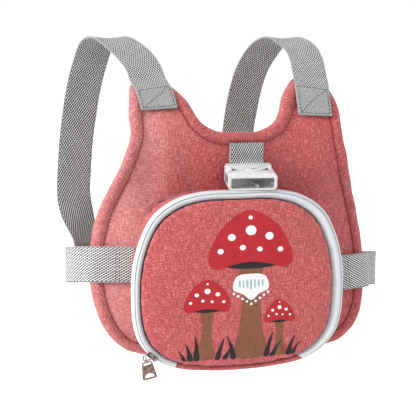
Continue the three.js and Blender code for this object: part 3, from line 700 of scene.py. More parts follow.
def ink(name, red, green, blue, strength=0.9):
    """Printed ink that lets the canvas's threads show"""
    finish = Finish(name, 0.8)
    finish.shader.inputs["Specular IOR Level"].default_value = 0.3
    uv = finish.uv()
    height, value = canvas_weave(finish, uv)
    low, high = 0.86 * strength + 0.04, 1.06
    threads = finish.ramp(
        value,
        (0.36, linear(red * low, green * low, blue * low)),
        (0.5, linear(red, green, blue)),
        (0.64, linear(min(red * high, 255), min(green * high, 255), min(blue * high, 255))),
    )
    finish.colour(threads)
    finish.bump(height, 0.16, 0.6)
    return finish.material


def webbing_finish(name, light=1.0, sewn=0.0):
    """Grey webbing: light yarns that lie as staggered ovals, with painted shade down to near black in the gaps
    between them, up to its plain edges.
    Over a sewn length from its start the ovals are pressed flat"""
    finish = Finish(name, 0.8, sheen=0.15)
    finish.shader.inputs["Specular IOR Level"].default_value = 0.3
    uv = finish.uv()
    split = finish.add("ShaderNodeSeparateXYZ", uv)
    along = finish.math("DIVIDE", split.outputs[0], YARN_ALONG * MM)
    across = finish.math("DIVIDE", split.outputs[1], YARN_ACROSS * MM)
    stagger = finish.math("MULTIPLY", finish.math("MODULO", finish.math("FLOOR", across), 2.0), 0.5)
    u = finish.math("SUBTRACT", finish.math("FRACT", finish.math("ADD", along, stagger)), 0.5)
    v = finish.math("SUBTRACT", finish.math("FRACT", across), 0.5)
    lean = finish.math("MULTIPLY", v, 0.4)
    u = finish.math("DIVIDE", finish.math("ADD", u, lean), 0.47)
    v = finish.math("DIVIDE", v, 0.5)
    radius = finish.math("ADD", finish.math("MULTIPLY", u, u), finish.math("MULTIPLY", v, v))
    oval = finish.add("ShaderNodeClamp", finish.math("SUBTRACT", 1.0, radius)).outputs[0]
    yarn = finish.noise(finish.scaled(uv, 700, 1600), 1, 1, 0.5)
    wear = finish.noise(finish.scaled(uv, 60, 60), 1, 3, 0.6)
    level = finish.math("ADD", finish.math("MULTIPLY", oval, 0.78), finish.math("MULTIPLY", yarn, 0.22))
    level = finish.math("ADD", level, finish.math("MULTIPLY", finish.math("SUBTRACT", wear, 0.5), 0.16))
    # The darkest stops are painted shade in the gaps between the ovals
    threads = finish.ramp(
        level,
        (0.26, linear(2, 2, 2)),
        # light above 1 paints these stops lighter: painted light
        (0.41, linear(46 * light, 47 * light, 47 * light)),
        (0.53, linear(176 * light, 178 * light, 178 * light)),
        (0.7, linear(244 * light, 246 * light, 246 * light)),
    )
    edge = finish.math("ABSOLUTE", finish.math("SUBTRACT", split.outputs[1], WEBBING_WIDTH / 2 * MM))
    selvedge = finish.math("GREATER_THAN", edge, (WEBBING_WIDTH / 2 - 0.9) * MM)
    ridge = finish.math("ABSOLUTE", finish.math("SINE", finish.math("MULTIPLY", along, math.pi * 2)))
    plain = finish.ramp(ridge, (0.1, linear(92, 92, 93)), (0.7, linear(168, 168, 168)))
    if sewn:
        pressed = finish.ramp(yarn, (0.35, linear(118, 120, 120)), (0.62, linear(172, 174, 174)))
        share = finish.add("ShaderNodeMapRange", split.outputs[0], sewn * 1.1 * MM, sewn * 0.85 * MM, 0.0, 0.6)
        threads = finish.mix(share.outputs[0], threads, pressed)
    finish.colour(finish.mix(selvedge, threads, plain))
    side = finish.math("MULTIPLY", selvedge, ridge)
    middle = finish.math("MULTIPLY", finish.math("SUBTRACT", 1.0, selvedge), oval)
    finish.bump(finish.math("ADD", side, middle), 0.4, 0.8)
    return finish.material


def tape_finish(name, width, shaded=1.0):
    """Light grey zip tape with fine slanting ribs, greyer past a share of its width: painted shade where the tape
    turns down towards the front
    """
    finish = Finish(name, 0.62, sheen=0.1)
    uv = finish.uv()
    ribs = finish.scaled(uv, 1 / (0.55 * MM), 1 / (0.8 * MM), turn=0.5)
    split = finish.add("ShaderNodeSeparateXYZ", ribs)
    rib = finish.math("ABSOLUTE", finish.math("SINE", finish.math("MULTIPLY", split.outputs[0], math.pi)))
    fuzz = finish.noise(finish.scaled(uv, 900, 900), 1, 2, 0.6)
    value = finish.math("ADD", finish.math("MULTIPLY", rib, 0.5), finish.math("MULTIPLY", fuzz, 0.5))
    tape = finish.ramp(value, (0.2, linear(170, 174, 178)), (0.6, linear(212, 215, 218)))
    along_edge = finish.math("DIVIDE", finish.add("ShaderNodeSeparateXYZ", uv).outputs[1], width * MM)
    grey = finish.ramp(value, (0.2, linear(70, 73, 76)), (0.6, linear(118, 122, 125)))
    share = finish.add("ShaderNodeMapRange", along_edge, shaded, shaded + 0.12, 0.0, 1.0).outputs[0]
    finish.colour(finish.mix(share, tape, grey))
    finish.bump(rib, 0.12, 0.5)
    return finish.material


def plastic_finish(name, dark=1.0):
    """White moulded plastic with a faint texture and handling marks"""
    finish = Finish(name, 0.42)
    finish.shader.inputs["Subsurface Weight"].default_value = 0.12
    finish.shader.inputs["Subsurface Radius"].default_value = (0.002, 0.002, 0.002)
    place = finish.place()
    grain = finish.noise(finish.scaled(place, 2200, 2200, 2200), 1, 2, 0.6)
    marks = finish.noise(finish.scaled(place, 300, 90, 90), 1, 4, 0.7)
    finish.colour(finish.ramp(marks, (0.3, linear(196 * dark, 195 * dark, 198 * dark)),
                              (0.6, linear(212 * dark, 211 * dark, 213 * dark))))
    finish.rough(finish.math("ADD", 0.3, finish.math("MULTIPLY", marks, 0.25)))
    finish.bump(grain, 0.03, 0.35)
    return finish.material


def metal_finish(name, low=(100, 74, 68), high=(172, 142, 134)):
    """Dark grey-brown plated metal with worn places; where low and high lie far apart, the light patches are
    painted glints
    """
    finish = Finish(name, 0.38, metallic=0.85)
    place = finish.place()
    wear_and_highlight = finish.noise(finish.scaled(place, 420, 420, 420), 1, 4, 0.65)
    finish.colour(finish.ramp(wear_and_highlight, (0.35, linear(*low)), (0.68, linear(*high))))
    scratches = finish.noise(finish.scaled(place, 4200, 500, 900), 1, 2, 0.7)
    finish.rough(finish.math("ADD", 0.26, finish.math("MULTIPLY", scratches, 0.3)))
    finish.bump(scratches, 0.03, 0.4)
    return finish.material


def thread_finish(name, red, green, blue):
    """Sewing thread with its twist"""
    finish = Finish(name, 0.7, sheen=0.2)
    place = finish.place()
    twist = finish.noise(finish.scaled(place, 3500, 3500, 3500), 1, 1, 0.5)
    finish.colour(finish.ramp(twist, (0.35, linear(red * 0.75, green * 0.75, blue * 0.75)),
                              (0.65, linear(red, green, blue))))
    finish.bump(twist, 0.08, 0.6)
    return finish.material


CANVAS = canvas("coral_canvas")
# A darker copy of the canvas, used only as painted shade
PAINTED_SHADE_CANVAS = canvas("coral_canvas_painted_shade", dark=0.72)
# The panel and binding canvases carry the painted highlight towards the left
PANEL_CANVAS = canvas("coral_panel_canvas", pale=0.3)
BIAS_CANVAS = canvas("coral_bias_canvas", turn=math.radians(45), dark=0.95, pale=0.16)
GREY_WEBBING = webbing_finish("grey_webbing")
SHOULDER_WEBBING = webbing_finish("shoulder_webbing", sewn=27)
# The side straps' webbing is painted 1.4 times lighter than the same webbing elsewhere: painted light for the
# light on their turned faces
SIDE_WEBBING_PAINTED_LIGHT = webbing_finish("side_webbing", light=1.4)
OUTER_TAPE = tape_finish("outer_zip_tape", 6.6)
# The inner tape is painted grey over its far part: painted shade in the groove by the front
INNER_TAPE = tape_finish("inner_zip_tape", 12.4, shaded=0.55)
PLASTIC = plastic_finish("white_plastic")
# A darker copy of the plastic: painted shade for the inside of the buckle's mouth
SHADED_PLASTIC = plastic_finish("white_plastic_inside", dark=0.72)
METAL = metal_finish("zip_metal")
# The slider's metal runs from near black to near white: the dark is its own colour, the near-white patches are
# painted glints
SLIDER_METAL_GLINTS = metal_finish("slider_metal", low=(38, 32, 31), high=(196, 186, 180))
CORAL_THREAD = thread_finish("coral_thread", 146, 18, 32)
GREY_THREAD = thread_finish("grey_thread", 62, 64, 66)


# The padded panel and its binding


def fabric_waves(seed, count, low, high, size):
    chance = np.random.default_rng(seed)
    return [(chance.uniform(low, high), chance.uniform(low, high), chance.uniform(0, 6.28),
             chance.uniform(0.3, 1) * size / math.sqrt(count)) for _ in range(count)]


def ripple(waves, u, v):
    return sum(size * np.sin(a * u + b * v + start) for a, b, start, size in waves)


def panel_hold(points):
    """Holds the panel near its edge, where the binding grips it, and eases it over 14 mm"""
    shares = np.linspace(0, 1, 721)[:-1]
    edge = panel_edge(shares, 0)
    x, z = points[:, 0], points[:, 2]
    nearest = np.full(len(points), 1e9)
    for start in range(0, len(edge), 60):
        block = edge[start:start + 60]
        gap = np.hypot(x[:, None] - block[None, :, 0], z[:, None] - block[None, :, 1])
        nearest = np.minimum(nearest, gap.min(axis=1))
    hold = np.clip(1 - (nearest - BINDING_WIDTH - 0.5) / 14, 0, 1)
    under_tab = (np.abs(x - LEASH_SHIFT) < WEBBING_WIDTH / 2 + 3) & (z > 145)
    return np.where(under_tab, np.maximum(hold, 0.5), hold)


def panel_folds(points, hold):
    """Soft upright folds from the lobes down, and small dents all over"""
    x, z = points[:, 0], points[:, 2]
    folds = fabric_waves(11, 9, 0.05, 0.2, 1.0)
    dents = fabric_waves(12, 14, 0.15, 0.55, 0.35)
    upright = ripple(folds, x, z * 0.22)
    upper = np.clip((z - 90) / 60, 0.25, 1)
    return (upright * upper + ripple(dents, x, z)) * (1 - hold) * 0.85


def back_panel():
    piece = solid_copy("padded_panel", "back_panel")
    swell(piece, 2.6, panel_hold, 1.0, panel_folds)
    return finish(piece, PANEL_CANVAS, replaces=["back_panel"])


# Section of the binding from its front seam round the edge to its back seam: inset, height
BINDING_SECTION = np.array([
    (8.5, 0.1), (8.1, 0.45), (7.2, 0.7), (6.2, 1.35), (4.6, 2.0), (2.8, 2.05), (1.2, 1.45), (0.25, 0.2),
    (-0.1, -1.6), (-0.15, -2.5), (-0.1, -3.4), (0.25, -5.2), (1.2, -6.45), (2.8, -7.05), (4.6, -7.0),
    (6.2, -6.35), (7.2, -5.6), (8.1, -5.55), (8.5, -5.15),
])


def binding_spread(share):
    """How much wider the binding is than at the pouch's foot, where it has the least room"""
    height = panel_edge(share, np.zeros_like(share))[:, 1]
    return 1 + 0.13 * np.clip((height - 12) / 24, 0, 1)


def edge_binding():
    section = Curve(BINDING_SECTION)
    chance = np.random.default_rng(5)
    waves = [(chance.integers(9, 60), chance.uniform(0, 6.28), chance.uniform(0.03, 0.1)) for _ in range(16)]

    def surface(u, v):
        inset, height = section.at(v).T
        pucker = sum(size * np.sin(2 * math.pi * turns * u + start + 2 * v) for turns, start, size in waves)
        bulge = np.clip(np.sin(math.pi * np.clip((v - 0.1) / 0.8, 0, 1)), 0, 1)
        edge = panel_edge(u, inset * binding_spread(u) - pucker * bulge * 0.6)
        outwards = np.where(v < 0.5, 1, -1)
        return on_face(edge[:, 0], edge[:, 1], height + outwards * pucker * bulge * 0.8)

    piece = cloth_sheet("bias_binding", 540, 34, surface, 905, 24, thickness=0.45, closed=True)
    shade(piece, 60)
    return finish(piece, BIAS_CANVAS, replaces=["edge_binding"])


# The pouch


def pouch_gusset():
    waves = fabric_waves(3, 12, 8, 60, 1.3)

    def surface(u, v):
        points = gusset_point(u, v, 0)
        inner = gusset_point(u, v, 1.0)
        slack = np.sin(math.pi * v) * (0.9 + ripple(waves, u * 4, v))
        corner = np.exp(-np.abs((u - GUSSET_CORNER) / 0.05) ** 1.3)
        full = corner * (1 - v) ** 0.8 * 6 + corner * np.sin(math.pi * v) * 1.2
        crease = np.exp(-((u - GUSSET_CORNER + 0.06) / 0.05) ** 4) * np.exp(-((v - 0.26) / 0.13) ** 2) * 5
        pinch = np.exp(-((u - GUSSET_CORNER) / 0.008) ** 2) * np.sin(math.pi * np.clip(v * 1.3, 0, 1)) * 3.5
        return points + (inner - points) * (slack - full + pinch + crease)[:, None]

    piece = cloth_sheet("pouch_side", 360, 16, surface, GUSSET_LENGTH, GUSSET_DEPTH, thickness=1.2, closed=True)
    shade(piece, 60)
    shares = np.linspace(0, 1, 601)
    foot = surface(shares, np.full(601, 0.0))
    face = on_face(foot[:, 0], foot[:, 2], 0.25)
    off = unit(on_face(foot[:, 0], foot[:, 2], 1.25) - face)
    stitch_line("pouch_seam", face, off, CORAL_THREAD, "coral_canvas", length=2.8, gap=0.2, radius=0.4)
    # A cord of the darker canvas along the corner's crease: painted shade where the gusset's upper side turns from
    # the light
    fold = np.linspace(GUSSET_CORNER + 0.012, GUSSET_CORNER - 0.1, 80)
    face = surface(fold, np.full(80, 0.12))
    off = unit(surface(fold, np.full(80, 0.12)) - gusset_point(fold, np.full(80, 0.12), 3.0))
    stitch_line("pouch_corner_painted_shade", face + off * 0.9, off, PAINTED_SHADE_CANVAS, "coral_canvas",
                length=14, gap=-3.5, radius=1.6)
    return finish(piece, CANVAS, replaces=["pouch_gusset"])


def band_piece(name, start, end, near, far, thickness, material, slot, replaces, steps=260):
    def surface(u, v):
        return band_point(start + (end - start) * u, near + (far - near) * v, 0.0)

    length = (end - start) * BAND_LENGTH
    piece = cloth_sheet(name, steps, 8, surface, length, (far - near) * 16, thickness=thickness)
    shade(piece, 50)
    return finish(piece, material, slot=slot, replaces=replaces)


def zip_band():
    band_piece("tape_outer", TAPE_FROM, TAPE_TO, 0.0, 0.41, 0.7, OUTER_TAPE, "grey_tape", ["zip_tape_outer"])
    band_piece("tape_inner", TAPE_FROM, TAPE_TO, 0.475, 1.25, 0.7, INNER_TAPE, "grey_tape", ["zip_tape_inner"])
    joint = 4 * GAP / (2 * (POUCH_WIDTH + POUCH_HEIGHT))
    band_piece("pouch_hinge", TAPE_TO + joint, 1 + TAPE_FROM - joint, 0.0, 1.0, 0.9, CANVAS,
               "coral_canvas", ["bottom_hinge"], steps=120)
    nodes["zip_coil"].data.materials.clear()
    nodes["zip_coil"].data.materials.append(GREY_THREAD)


def front_hold(points):
    """Holds the front's back face and rim, so that its face crowns between them"""
    rim = POUCH_DEPTH + GAP + BAND_ROLL
    return np.where(points[:, 1] > -(rim - 3.2), 1.0, 0.0)


def front_folds(points, hold):
    """Puckers along the front's seam, which fade out over 16 mm, and a few wide dents"""
    middle = np.array([POUCH_SHIFT, POUCH_UP + POUCH_HEIGHT / 2])
    rim = pouch_point(np.linspace(0, 1, 361), 1.0, 0)[:, [0, 2]] - middle
    place = points[:, [0, 2]] - middle
    turn = np.arctan2(place[:, 1], place[:, 0])
    rim_turn = np.arctan2(rim[:, 1], rim[:, 0])
    order = np.argsort(rim_turn)
    radius = np.interp(turn, rim_turn[order], np.linalg.norm(rim, axis=1)[order])
    inset = radius - np.linalg.norm(place, axis=1)
    chance = np.random.default_rng(8)
    pucker = sum(chance.uniform(0.3, 1) * np.sin(turn * k + chance.uniform(0, 6.28)) for k in range(24, 60, 4))
    dents = ripple(fabric_waves(9, 10, 0.04, 0.16, 0.5), points[:, 0], points[:, 2])
    rim_fill = 1.3 * np.exp(-np.maximum(inset, 0) / 4)
    folds = pucker * 0.13 * np.exp(-np.maximum(inset, 0) / 6) + dents * np.clip(inset / 12, 0, 1)
    return folds * (1 - hold) + rim_fill


def pouch_front():
    piece = solid_copy("pouch_pad", "pouch_front")
    swell(piece, 2.6, front_hold, 1.6, front_folds)
    return finish(piece, CANVAS, replaces=["pouch_front"])


# Webbing


def eased(points, spread):
    """Points of a route, evenly spaced, with their small kinks smoothed out and both ends kept"""
    count = int(spread * 3) + 1
    head = 2 * points[0] - points[count:0:-1]
    tail = 2 * points[-1] - points[-2:-count - 2:-1]
    long = np.concatenate([head, points, tail])
    weights = np.exp(-0.5 * (np.arange(-count, count + 1) / spread) ** 2)
    weights /= weights.sum()
    return np.stack([np.convolve(long[:, i], weights, "valid") for i in range(3)], axis=-1)


def webbing_piece(name, rows, replaces, steps, material=None, ease=0.0, width=WEBBING_WIDTH):
    middle = Curve([at for at, _ in rows])
    across = Curve([side for _, side in rows])
    length = float(middle.length)
    half = WEBBING_THICKNESS / 2
    even = np.interp(np.linspace(0, length, 801), middle.lengths, np.linspace(0, 1, 401))
    route = middle.at(even)
    if ease:
        route = eased(route, ease / length * 800)
    sides = across.at(even)

    def frame_at(share):
        """Middle, direction across and direction out at shares of the webbing's length"""
        def pick_from(table, at):
            place = np.clip(at, 0, 1) * 800
            return np.stack([np.interp(place, np.arange(801), table[:, i]) for i in range(3)], axis=-1)

        share = np.asarray(share, float)
        run = unit(pick_from(route, share + 2e-3) - pick_from(route, share - 2e-3))
        side = pick_from(sides, share)
        side = unit(side - run * np.sum(run * side, axis=1, keepdims=True))
        return pick_from(route, share), side, np.cross(run, side)

    def surface(u, v):
        at, side, off = frame_at(u)
        return at + side * ((v - 0.5) * width)[:, None] + off * half

    piece = cloth_sheet(name, steps, 12, surface, length, WEBBING_WIDTH, thickness=WEBBING_THICKNESS)
    apply_modifier(piece, "BEVEL", width=0.45 * MM, segments=2, limit_method="ANGLE",
                   angle_limit=math.radians(50))
    shade(piece, 50)
    finish(piece, material or GREY_WEBBING, slot="grey_webbing", replaces=replaces)
    return frame_at, length


def stitch_line(name, points, normals, material, slot, length=2.4, gap=0.9, radius=0.24, body="pack"):
    """A row of stitches along points in millimetres, each a short thread sunk at both ends"""
    points = np.asarray(points)
    normals = np.asarray(normals)
    steps = np.linalg.norm(np.diff(points, axis=0), axis=1)
    run = np.concatenate([[0], np.cumsum(steps)])
    count = max(int(run[-1] / (length + gap)), 1)
    mesh = bmesh.new()
    for k in range(count):
        middle = (k + 0.5) * run[-1] / count
        rings = []
        for share in (-0.5, -0.36, 0, 0.36, 0.5):
            place = middle + share * length
            at = np.array([np.interp(place, run, points[:, i]) for i in range(3)])
            ahead = np.array([np.interp(place + 0.3, run, points[:, i]) for i in range(3)])
            back = np.array([np.interp(place - 0.3, run, points[:, i]) for i in range(3)])
            normal = unit(np.array([np.interp(place, run, normals[:, i]) for i in range(3)]))
            forward = unit(ahead - back + 1e-9)
            side = unit(np.cross(forward, normal))
            sunk = -radius * (1.6 if abs(share) > 0.4 else 0.4 if abs(share) > 0.2 else 0)
            thick = radius * (0.45 if abs(share) > 0.4 else 0.9 if abs(share) > 0.2 else 1)
            ring = []
            for corner in range(6):
                angle = corner * math.pi / 3
                offset = side * math.cos(angle) * thick + normal * (math.sin(angle) * thick + sunk)
                ring.append(mesh.verts.new(locate(at + offset)))
            rings.append(ring)
        for first, second in zip(rings, rings[1:]):
            for i in range(6):
                mesh.faces.new((first[i], first[(i + 1) % 6], second[(i + 1) % 6], second[i]))
        mesh.faces.new(rings[0][::-1])
        mesh.faces.new(rings[-1])
    data = bpy.data.meshes.new(name)
    bmesh.ops.recalc_face_normals(mesh, faces=mesh.faces)
    mesh.to_mesh(data)
    mesh.free()
    piece = bpy.data.objects.new(name, data)
    bpy.context.scene.collection.objects.link(piece)
    shade(piece, 60)
    return finish(piece, material, body=body, slot=slot)


def binding_stitches():
    shares = np.linspace(0, 1, 901)
    for side, inset, height in (("front", 8.4, 0.95), ("back", 8.4, -5.95)):
        edge = panel_edge(shares, inset * binding_spread(shares))
        points = on_face(edge[:, 0], edge[:, 1], height)
        lifted = on_face(edge[:, 0], edge[:, 1], height + (1 if side == "front" else -1))
        stitch_line("binding_stitches_" + side, points, unit(lifted - points), CORAL_THREAD, "coral_canvas",
                    length=2.8, gap=0.2, radius=0.5)


def outward(off):
    """The webbing's own normals, turned away from the wearer"""
    return off * -np.sign(off[:, 1].mean())


def strap_stitches(name, frame_at, start, end, inset=2.2):
    """A sewn box on a strap, from one share of its length to another, on its outer face"""
    edge = WEBBING_WIDTH / 2 - inset
    corners = [(start, -edge), (end, -edge), (end, edge), (start, edge), (start, -edge), (end, edge)]
    route = []
    for (a, x), (b, y) in zip(corners, corners[1:]):
        for t in np.linspace(0, 1, 24, endpoint=False):
            route.append((a + (b - a) * t, x + (y - x) * t))
    route = np.array(route)
    at, side, off = frame_at(route[:, 0])
    off = outward(off)
    points = at + side * route[:, 1][:, None] + off * (WEBBING_THICKNESS / 2 + 0.1)
    stitch_line(name, points, off, GREY_THREAD, "grey_webbing", gap=0.5, radius=0.32)


def straps():
    left_side = side_strap_rows(-1, LEFT_SIDE, LEFT_UP)
    right_side = side_strap_rows(1, RIGHT_SIDE, RIGHT_UP)
    routes = (
        ("left_shoulder_webbing",
         shoulder_strap_rows(-1, 2, LEFT_SEWN, left_side), "shoulder_strap_left", 260),
        ("right_shoulder_webbing",
         shoulder_strap_rows(1, 3, RIGHT_SEWN, right_side), "shoulder_strap_right", 260),
        ("left_side_webbing", left_side, "side_strap_left", 180),
        ("right_side_webbing", right_side, "side_strap_right", 200),
    )
    frames = {}
    for name, rows, node, steps in routes:
        # The side straps take the painted-light copy of the webbing
        material = SIDE_WEBBING_PAINTED_LIGHT if "side" in node else SHOULDER_WEBBING
        frames[node] = webbing_piece(name, rows, [node], steps, material, ease=4.0)
    frames["leash_tab"] = webbing_piece("leash_tab_webbing", leash_tab_rows(), ["leash_tab"], 120, width=TAB_WIDTH)
    return frames


def sewn_straps(frames):
    """Boxes where the shoulder straps are sewn to the lobes, and rows where the side straps meet the pouch"""
    roots = (("left_root", "shoulder_strap_left", LEFT_SEWN), ("right_root", "shoulder_strap_right", RIGHT_SEWN))
    for name, node, sewn in roots:
        frame_at, length = frames[node]
        strap_stitches(name + "_stitches", frame_at, 1.8 / length, (sewn - 3) / length)
    for name, node in (("left_side", "side_strap_left"), ("right_side", "side_strap_right")):
        frame_at, length = frames[node]
        for k, place in enumerate((12.5, 15.5)):
            across = np.linspace(-WEBBING_WIDTH / 2 + 1, WEBBING_WIDTH / 2 - 1, 30)
            at, side, off = frame_at(np.full(30, place / length))
            off = outward(off)
            points = at + side * across[:, None] + off * (WEBBING_THICKNESS / 2 + 0.1)
            stitch_line(f"{name}_stitches_{k + 1}", points, off, GREY_THREAD, "grey_webbing", radius=0.24)


# The print on the pouch


def smooth_ring(points, steps=72):
    """A closed outline through a few points"""
    return Curve(points, closed=True).at(np.linspace(0, 1, steps, endpoint=False))


def oval_ring(x, z, width, height, turn=0.0, steps=40):
    angle = np.linspace(0, 2 * math.pi, steps, endpoint=False)
    a, b = np.cos(angle) * width / 2, np.sin(angle) * height / 2
    c, d = math.cos(math.radians(turn)), math.sin(math.radians(turn))
    return np.stack([x + a * c - b * d, z + a * d + b * c], axis=-1)


def cap_ring(x, z, width, height):
    """A toadstool's cap: a dome over a slightly hollow brim"""
    dome = [(-0.5, 0.02), (-0.46, 0.34), (-0.3, 0.74), (0, 1), (0.3, 0.74), (0.46, 0.34), (0.5, 0.02)]
    brim = [(0.42, -0.1), (0.2, -0.02), (0, 0.02), (-0.2, -0.02), (-0.42, -0.1)]
    return smooth_ring([(x + a * width, z + b * height) for a, b in dome + brim], 96)


def stem_ring(x, z, width, height, lean=0.0):
    """A toadstool's stem, from its foot at z up, wider at the foot"""
    half = [(0.62, 0.0), (0.66, 0.09), (0.46, 0.3), (0.36, 0.6), (0.4, 1.0)]
    ring = [(x + a * width + lean * b, z + b * height) for a, b in half]
    ring += [(x - a * width + lean * b, z + b * height) for a, b in half[::-1]]
    return smooth_ring(ring, 80)


def blade_ring(x, z, width, height, lean):
    ring = [(x - width / 2, z), (x - width * 0.3 + lean * 0.35, z + height * 0.5), (x + lean, z + height),
            (x + width * 0.42 + lean * 0.3, z + height * 0.45), (x + width / 2, z)]
    return smooth_ring(ring, 48)


def printed(name, rings, ink_material, layer, surface):
    """Flat shapes printed on a surface, all of one colour. Each ring is an outline in millimetres"""
    parts = []
    for ring in rings:
        deselect()
        bpy.ops.mesh.primitive_circle_add(vertices=len(ring), radius=1, fill_type="TRIFAN")
        part = bpy.context.object
        mesh = part.data
        middle = ring.mean(axis=0)
        # The fan's vertices: the outline in order, then its middle
        flat = [(*point, 0.0) for point in ring]
        for vertex in mesh.vertices:
            if vertex.co.length < 1e-6:
                vertex.co = (*middle, 0)
            else:
                turn = round(math.atan2(-vertex.co.x, vertex.co.y) / (2 * math.pi) * len(ring)) % len(ring)
                vertex.co = flat[turn]
        reach = np.linalg.norm(ring - middle, axis=1).max()
        cuts = max(1, int(reach / 2.6))
        edit(part, lambda: bpy.ops.mesh.subdivide(number_cuts=cuts))
        parts.append(part)
    deselect()
    for part in parts:
        part.select_set(True)
    piece = parts[0]
    bpy.context.view_layer.objects.active = piece
    if len(parts) > 1:
        bpy.ops.object.join()
    piece.name = name
    offset = (PRINT_LIFT + 0.07 * layer) * MM
    for vertex in piece.data.vertices:
        x, z = locate([vertex.co.x, 0, vertex.co.y])[[0, 2]]
        hit = surface.ray_cast(Vector((x, -0.3, z)), Vector((0, 1, 0)))[0]
        vertex.co = (x, hit.y - offset, z)
    edit(piece, lambda: bpy.ops.mesh.normals_make_consistent(inside=False))
    mesh = piece.data
    if sum(face.normal.y * face.area for face in mesh.polygons) > 0:
        edit(piece, lambda: bpy.ops.mesh.flip_normals())
    flat_uv(piece)
    shade(piece, 60)
    return finish(piece, ink_material)


def toadstool_print(pad):
    """A group of toadstools in deep red, brown, black, white and pale teal"""
    surface = BVHTree.FromObject(pad, bpy.context.evaluated_depsgraph_get())
    red = ink("deep_red_ink", 178, 36, 46)
    brown = ink("brown_ink", 130, 82, 60)
    black = ink("black_ink", 38, 34, 36, strength=0.7)
    white = ink("white_ink", 240, 238, 236, strength=0.95)
    teal = ink("pale_teal_ink", 150, 192, 198)
    x, z = PRINT_MIDDLE
    caps = [(x + 9, z + 17, 70, 42), (x - 27, z - 19, 38, 24), (x + 33, z - 31, 26, 17)]
    stems = [(x + 9, z - 60, 21, 80, 0), (x - 28, z - 60, 11, 44, 1), (x + 34, z - 60, 8, 32, -1)]
    printed("print_stems", [stem_ring(a, b, c, d, e) for a, b, c, d, e in stems], brown, 0, surface)
    under = [oval_ring(a, b + 0.2, c * 0.72, d * 0.24) for a, b, c, d in caps]
    printed("print_gills", under, black, 1, surface)
    printed("print_caps", [cap_ring(*cap) for cap in caps], red, 2, surface)
    dots = []
    spots = [(0, 0.62, 9), (-0.23, 0.5, 6.4), (0.22, 0.5, 7), (-0.1, 0.3, 5), (0.1, 0.26, 4.6), (-0.36, 0.24, 5),
             (0.35, 0.24, 4.8), (0.0, 0.86, 3.6)]
    for (a, b, c, d), scale in zip(caps, (1, 0.55, 0.4)):
        dots += [oval_ring(a + u * c, b + v * d, w * scale, w * scale * 0.86, steps=20) for u, v, w in spots]
    printed("print_spots", dots, white, 3, surface)
    grass = [(-40, 4, 15, -5), (-35, 4, 22, -2), (-18, 4, 18, 5), (-12, 3.6, 12, 7), (-5, 4, 20, -6),
             (23, 4, 21, 5), (28, 3.4, 13, 8), (42, 4, 17, 5), (46, 3.4, 11, 6), (-45, 3, 9, -6)]
    blades = [blade_ring(x + a, z - 61, w, h, lean) for a, w, h, lean in grass]
    printed("print_grass", blades, black, 1, surface)
    collar = z + 1
    ruff = smooth_ring([(x - 3, collar + 5), (x + 9, collar + 7), (x + 21, collar + 5), (x + 24, collar - 5),
                        (x + 16, collar - 9), (x + 9, collar - 14), (x + 2, collar - 9), (x - 6, collar - 5)], 72)
    printed("print_ruff", [ruff], white, 1, surface)
    bars = [oval_ring(x + 9 + a, collar - 1.5 - abs(a) * -0.1, 1.7, 9 - abs(a) * 0.32, steps=16)
            for a in (-9.6, -6.4, -3.2, 0, 3.2, 6.4, 9.6)]
    printed("print_ruff_bars", bars, teal, 2, surface)
    beads = [oval_ring(x + 9 + a, collar - 17.2 + abs(a) * 0.62, 2.2, 2.2, steps=14)
             for a in (-14.4, -10.8, -7.2, -3.6, 0, 3.6, 7.2, 10.8, 14.4)]
    printed("print_beads", beads, white, 2, surface)


# Hard pieces


def cutter(name, outline, low, high):
    """A prism in the buckle's own frame, in millimetres: an outline across and forwards, from low to high"""
    deselect()
    bpy.ops.mesh.primitive_circle_add(vertices=len(outline), fill_type="NGON")
    piece = bpy.context.object
    piece.name = name
    for vertex, (x, y) in zip(piece.data.vertices, outline):
        vertex.co = (x, -y, low)
    edit(
        piece,
        lambda: bpy.ops.mesh.extrude_region_move(TRANSFORM_OT_translate={"value": (0, 0, high - low)}),
        lambda: bpy.ops.mesh.select_all(action="SELECT"),
        lambda: bpy.ops.mesh.normals_make_consistent(inside=False),
    )
    turn = leash_frame()
    for vertex in piece.data.vertices:
        vertex.co = Vector(locate(turn @ vertex.co))
    return piece


def cut(piece, tool, operation="DIFFERENCE"):
    apply_modifier(piece, "BOOLEAN", object=tool, operation=operation, solver="EXACT")
    bpy.data.objects.remove(tool)


